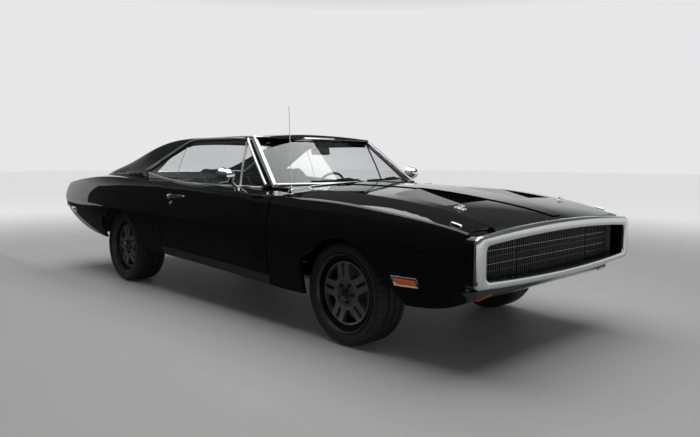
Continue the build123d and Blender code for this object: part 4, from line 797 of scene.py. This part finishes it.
# columns: distance from the wheel's middle, depth below its plane
SPOKE = ((0.045, 0.012), (0.09, 0.012), (0.14, 0.006), (0.180, 0.0))
SPOKE_SECTION = ((-0.016, -0.002), (-0.016, 0.002), (0.016, 0.002), (0.016, -0.002))
flat = Vector((0, 1, 0))
upward = flat.cross(WHEEL_AXIS).normalized()
upward = upward if upward.z > 0 else -upward
shape = bmesh.new()
turns = [2 * math.pi * k / RIM_STEPS for k in range(RIM_STEPS)]
rim = [WHEEL_AT + flat * (WHEEL_R * math.cos(t)) + upward * (WHEEL_R * math.sin(t)) for t in turns]
rings = []
for k, t in enumerate(turns):
    outward = (rim[k] - WHEEL_AT).normalized()
    grip = GRIP_R + GRIP_WAVE * math.cos(GRIP_COUNT * t)
    rings.append([rim[k] + outward * (grip * math.cos(a)) + WHEEL_AXIS * (grip * math.sin(a))
                  for a in [math.pi / 6 * i for i in range(12)]])
bridge(shape, rings, closed=True)
lathe(shape, WHEEL_HUB, WHEEL_AT, WHEEL_AXIS, 36)
piece("steering_rim", shape, leather, "steering_wheel", ["steering_wheel"])
shape = bmesh.new()
for degrees in (0, 180, 270):
    t = math.radians(degrees)
    way = flat * math.cos(t) + upward * math.sin(t)
    path = [WHEEL_AT + way * r - WHEEL_AXIS * d for r, d in SPOKE]
    sweep(shape, path, [WHEEL_AXIS] * len(SPOKE), SPOKE_SECTION)
piece("steering_spokes", shape, chrome, "steering_wheel", ["steering_wheel"])
dash = tree_of("dashboard")
# columns: y, z, radius
GAUGES = ((0.47, 0.815, 0.056), (0.33, 0.815, 0.056), (0.23, 0.835, 0.032), (0.57, 0.835, 0.032),
          (0.15, 0.835, 0.032))
bezels, dials = bmesh.new(), bmesh.new()
for y, z, r in GAUGES:
    at, normal = cast(dash, (-0.2, y, z), (1, 0, 0))
    ring = [(r + 0.005, -0.003), (r + 0.005, 0.004), (r + 0.002, 0.008), (r, 0.007), (r, 0.001)]
    dial = [(r - 0.0005, -0.002), (r - 0.0005, 0.002), (r * 0.5, 0.0022), (r * 0.1, 0.0024),
            (r * 0.08, 0.006), (0.001, 0.006)]
    lathe(bezels, ring, at, normal, 36)
    lathe(dials, dial, at, normal, 36)
piece("gauge_bezels", bezels, chrome, "chassis")
piece("gauge_dials", dials, plastic, "chassis")
MIRROR_AT = Vector((0.455, 0.0, 1.205))
turn = Matrix.Rotation(math.radians(14), 3, "Z") @ Matrix.Rotation(math.radians(-6), 3, "Y")
plan = eased([(-0.125, -0.030), (0.125, -0.030), (0.118, 0.032), (-0.118, 0.032)], 0.024)
stalk = between([MIRROR_AT + Vector((0.012, 0, 0.012)), Vector((0.47, 0, 1.262)),
                 Vector((0.452, 0, 1.300))], 4)
shape = bmesh.new()
slab(shape, [MIRROR_AT + turn @ Vector((0, a, b)) for a, b in plan], turn @ Vector((1, 0, 0)), 0.020, 0.010)
sweep(shape, stalk, [(1, 0, 0)] * len(stalk), circle(0.006, 10))
piece("inside_mirror", shape, plastic, "chassis")

# Seats: pads swollen by a cloth simulation, then sewn in channels
SIM_FRAMES = 20
SEAT_VOXEL, BENCH_VOXEL, SWELL_CAP = 0.006, 0.010, 0.022
SEW_DEEP, SEW_HALF = 0.005, 0.007
# columns: share of the pad's width, size of its profile there
PAD_ENDS = ((0.0, 0.80), (0.03, 0.93), (0.10, 1.0), (0.5, 1.02), (0.90, 1.0), (0.97, 0.93), (1.0, 0.80))


def pad_shape(profile, y0, y1, ease):
    """Rounded block: a side profile of (x, z) points carried across the car."""
    outline = eased(profile, ease)
    middle = sum(outline, Vector((0, 0))) / len(outline)
    shape = bmesh.new()
    rings = []
    for share, grow in PAD_ENDS:
        grown = [middle + (p - middle) * grow for p in outline]
        rings.append([Vector((p.x, y0 + (y1 - y0) * share, p.y)) for p in grown])
    bridge(shape, rings)
    split_caps(shape)
    return shape


def swell(obj, voxel, cap, pressure=4.0):
    """Foam pad: remeshed evenly and blown up by cloth pressure, no point moving past the cap."""
    even = obj.modifiers.new("even", "REMESH")
    even.mode = "VOXEL"
    even.voxel_size = voxel
    mesh = settled(obj)
    obj.modifiers.clear()
    obj.data = mesh
    rest = [corner.co.copy() for corner in mesh.vertices]
    cloth = obj.modifiers.new("foam", "CLOTH")
    cloth.settings.use_pressure = True
    cloth.settings.uniform_pressure_force = pressure
    cloth.settings.effector_weights.gravity = 0.0
    cloth.collision_settings.use_collision = False
    cloth.point_cache.frame_end = SIM_FRAMES
    for step in range(1, SIM_FRAMES + 1):
        scene.frame_set(step)
    blown = settled(obj)
    obj.modifiers.clear()
    scene.frame_set(1)
    for corner, start, end in zip(mesh.vertices, rest, blown.vertices):
        way = end.co - start
        corner.co = start + way * min(1.0, cap / max(way.length, 1e-9))
    mesh.update()


def sew(mesh, lines, inside, deep, half):
    """Presses sewn channels into a pad along lines of constant y, where inside says so."""
    normals = [corner.normal.copy() for corner in mesh.vertices]
    for corner, normal in zip(mesh.vertices, normals):
        if inside(corner.co, normal):
            gap = min(abs(corner.co.y - line) for line in lines)
            corner.co -= normal * (deep * math.exp(-(gap / half) ** 2))
    mesh.update()


def cushion(name, profile, y0, y1, ease, lines, inside, taper, replaced, voxel=SEAT_VOXEL):
    """Pad riding on the chassis; taper is (low z, high z, share of the width lost by the high one)."""
    obj = piece(name, pad_shape(profile, y0, y1, ease), leather, "chassis", replaced, 180)
    if taper:
        low, high, share = taper
        middle = (y0 + y1) / 2
        for corner in obj.data.vertices:
            over = max(0.0, min(1.0, (corner.co.z - low) / (high - low)))
            corner.co.y = middle + (corner.co.y - middle) * (1 - share * over * over)
    swell(obj, voxel, SWELL_CAP)
    sew(obj.data, lines, inside, SEW_DEEP, SEW_HALF)
    obj.data.materials.clear()
    obj.data.materials.append(leather)
    obj.data.polygons.foreach_set("use_smooth", [True] * len(obj.data.polygons))
    return obj


SEAT_Y, SEAT_HALF, CHANNEL = 0.400, 0.232, 0.052
SEAT_BASE = ((-0.210, 0.412), (0.298, 0.415), (0.303, 0.520), (0.190, 0.542), (-0.205, 0.512))
SEAT_BACK = ((-0.212, 0.492), (-0.312, 0.492), (-0.488, 1.058), (-0.448, 1.070), (-0.335, 0.872))
channels = [-SEAT_Y + CHANNEL * k for k in range(-3, 4)]
seats = [
    cushion("seat_base_right", SEAT_BASE, -SEAT_Y - SEAT_HALF, -SEAT_Y + SEAT_HALF, 0.030, channels,
            lambda at, n: n.z > 0.6 and at.x < 0.23, None, ["front_seats"]),
    cushion("seat_back_right", SEAT_BACK, -SEAT_Y - SEAT_HALF, -SEAT_Y + SEAT_HALF, 0.018, channels,
            lambda at, n: n.x > 0.6 and at.z < 0.86, (0.84, 1.08, 0.34), ["front_seats"]),
]
for seat in seats:
    copy = bpy.data.objects.new(seat.name.replace("right", "left"), seat.data.copy())
    for corner in copy.data.vertices:
        corner.co.y += 2 * SEAT_Y
    scene.collection.objects.link(copy)
    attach(copy, "chassis")
    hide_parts("front_seats")
BENCH_HALF, BENCH_CHANNEL = 0.545, 0.075
REAR_BENCH = ((-0.578, 0.572), (-0.562, 0.522), (-0.578, 0.508), (-1.105, 0.508), (-1.206, 0.884),
              (-1.104, 0.896), (-0.962, 0.560))
cushion("rear_bench", REAR_BENCH, -BENCH_HALF, BENCH_HALF, 0.012, [BENCH_CHANNEL * k for k in range(-6, 7)],
        lambda at, n: (n.z > 0.6 and at.z < 0.66) or (n.x > 0.5 and 0.62 < at.z < 0.84), None,
        ["rear_seat"], BENCH_VOXEL)


# Studio
def panel(name, corners, color):
    """Flat stage panel between four corners."""
    mesh = bpy.data.meshes.new(name)
    mesh.from_pydata(corners, [], [(0, 1, 2, 3)])
    obj = bpy.data.objects.new(name, mesh)
    scene.collection.objects.link(obj)
    made = look(name + "_look", color, 0.6)
    tint(made, texture(made, NOISE, 0.8), [c * 0.97 for c in color], [c * 1.03 for c in color])
    mesh.materials.append(made)
    return obj


BLACK, PALE = (0.008, 0.008, 0.008), (0.42, 0.42, 0.42)
FLOOR_HALF = 60
# Painted glow: the floor brightens with distance from the car by its own emission, not by a lamp
PAINTED_GLOW_NEAR, PAINTED_GLOW_FAR, PAINTED_GLOW = 3.6, 11.0, 0.62
floor = panel("floor", [(-FLOOR_HALF, -FLOOR_HALF, 0), (FLOOR_HALF, -FLOOR_HALF, 0),
                        (FLOOR_HALF, FLOOR_HALF, 0), (-FLOOR_HALF, FLOOR_HALF, 0)], PALE)
sweep_look = floor.data.materials[0]
centre = node(sweep_look, "ShaderNodeTexCoord")
far = node(sweep_look, "ShaderNodeVectorMath", operation="LENGTH")
painted_glow_range = node(sweep_look, "ShaderNodeMapRange", {"From Min": PAINTED_GLOW_NEAR, "From Max": PAINTED_GLOW_FAR, "To Max": PAINTED_GLOW},
            interpolation_type="SMOOTHSTEP")
sweep_look.node_tree.links.new(centre.outputs["Object"], far.inputs[0])
sweep_look.node_tree.links.new(far.outputs["Value"], painted_glow_range.inputs["Value"])
# Painted glow: the floor's emission strength follows its distance from the car
sweep_look.node_tree.links.new(painted_glow_range.outputs["Result"], shader_of(sweep_look).inputs["Emission Strength"])
shader_of(sweep_look).inputs["Emission Color"].default_value = (1.0, 1.0, 1.0, 1.0)
# Dark panels that only the car's reflections see
flags = (
    panel("dark_wall", [(-12, -4.2, 0), (4.5, -4.2, 0), (4.5, -4.2, 3.2), (-12, -4.2, 3.2)], BLACK),
    panel("dark_ground", [(-9, -4.2, 0.003), (4.5, -4.2, 0.003), (4.5, -1.15, 0.003), (-9, -1.15, 0.003)],
          BLACK),
)
for flag in flags:
    for kind in ("camera", "diffuse", "transmission", "shadow", "volume_scatter"):
        setattr(flag, "visible_" + kind, False)

world = bpy.data.worlds.new("studio")
scene.world = world
world.use_nodes = True
sky = world.node_tree
back = sky.nodes["Background"]
place = sky.nodes.new("ShaderNodeTexCoord")
parts = sky.nodes.new("ShaderNodeSeparateXYZ")
ramp = sky.nodes.new("ShaderNodeValToRGB")
ramp.color_ramp.elements[0].position = 0.22
ramp.color_ramp.elements[0].color = (0.80, 0.80, 0.81, 1)
ramp.color_ramp.elements[1].position = 0.33
ramp.color_ramp.elements[1].color = (0.10, 0.10, 0.103, 1)
sky.links.new(place.outputs["Generated"], parts.inputs["Vector"])
sky.links.new(parts.outputs["Z"], ramp.inputs["Fac"])
sky.links.new(ramp.outputs["Color"], back.inputs["Color"])


def lamp(name, at, aim, size, power):
    """Soft rectangular light pointed at a place."""
    data = bpy.data.lights.new(name, "AREA")
    data.shape = "RECTANGLE"
    data.size, data.size_y = size
    data.energy = power
    obj = bpy.data.objects.new(name, data)
    scene.collection.objects.link(obj)
    obj.location = at
    obj.rotation_euler = (Vector(aim) - Vector(at)).to_track_quat("-Z", "Y").to_euler()


lamp("overhead", (-0.3, 0.5, 6.5), (-0.3, 0.5, 0.0), (11.0, 8.0), 620)

camera_data = bpy.data.cameras.new("camera")
camera = bpy.data.objects.new("camera", camera_data)
scene.collection.objects.link(camera)
camera_data.sensor_width = 36.0
camera_data.lens = CAMERA_FOCAL_PX / PHOTO_WIDTH_PX * camera_data.sensor_width
forward = Vector((math.cos(CAMERA_PITCH) * math.cos(CAMERA_YAW),
                  math.cos(CAMERA_PITCH) * math.sin(CAMERA_YAW), math.sin(CAMERA_PITCH)))
level = Vector((math.sin(CAMERA_YAW), -math.cos(CAMERA_YAW), 0.0))
right = level * math.cos(CAMERA_ROLL) + level.cross(forward) * math.sin(CAMERA_ROLL)
up = right.cross(forward)
camera.matrix_world = Matrix.Translation(CAMERA_AT) @ Matrix((right, up, -forward)).transposed().to_4x4()
scene.camera = camera
scene.view_settings.view_transform = "Standard"
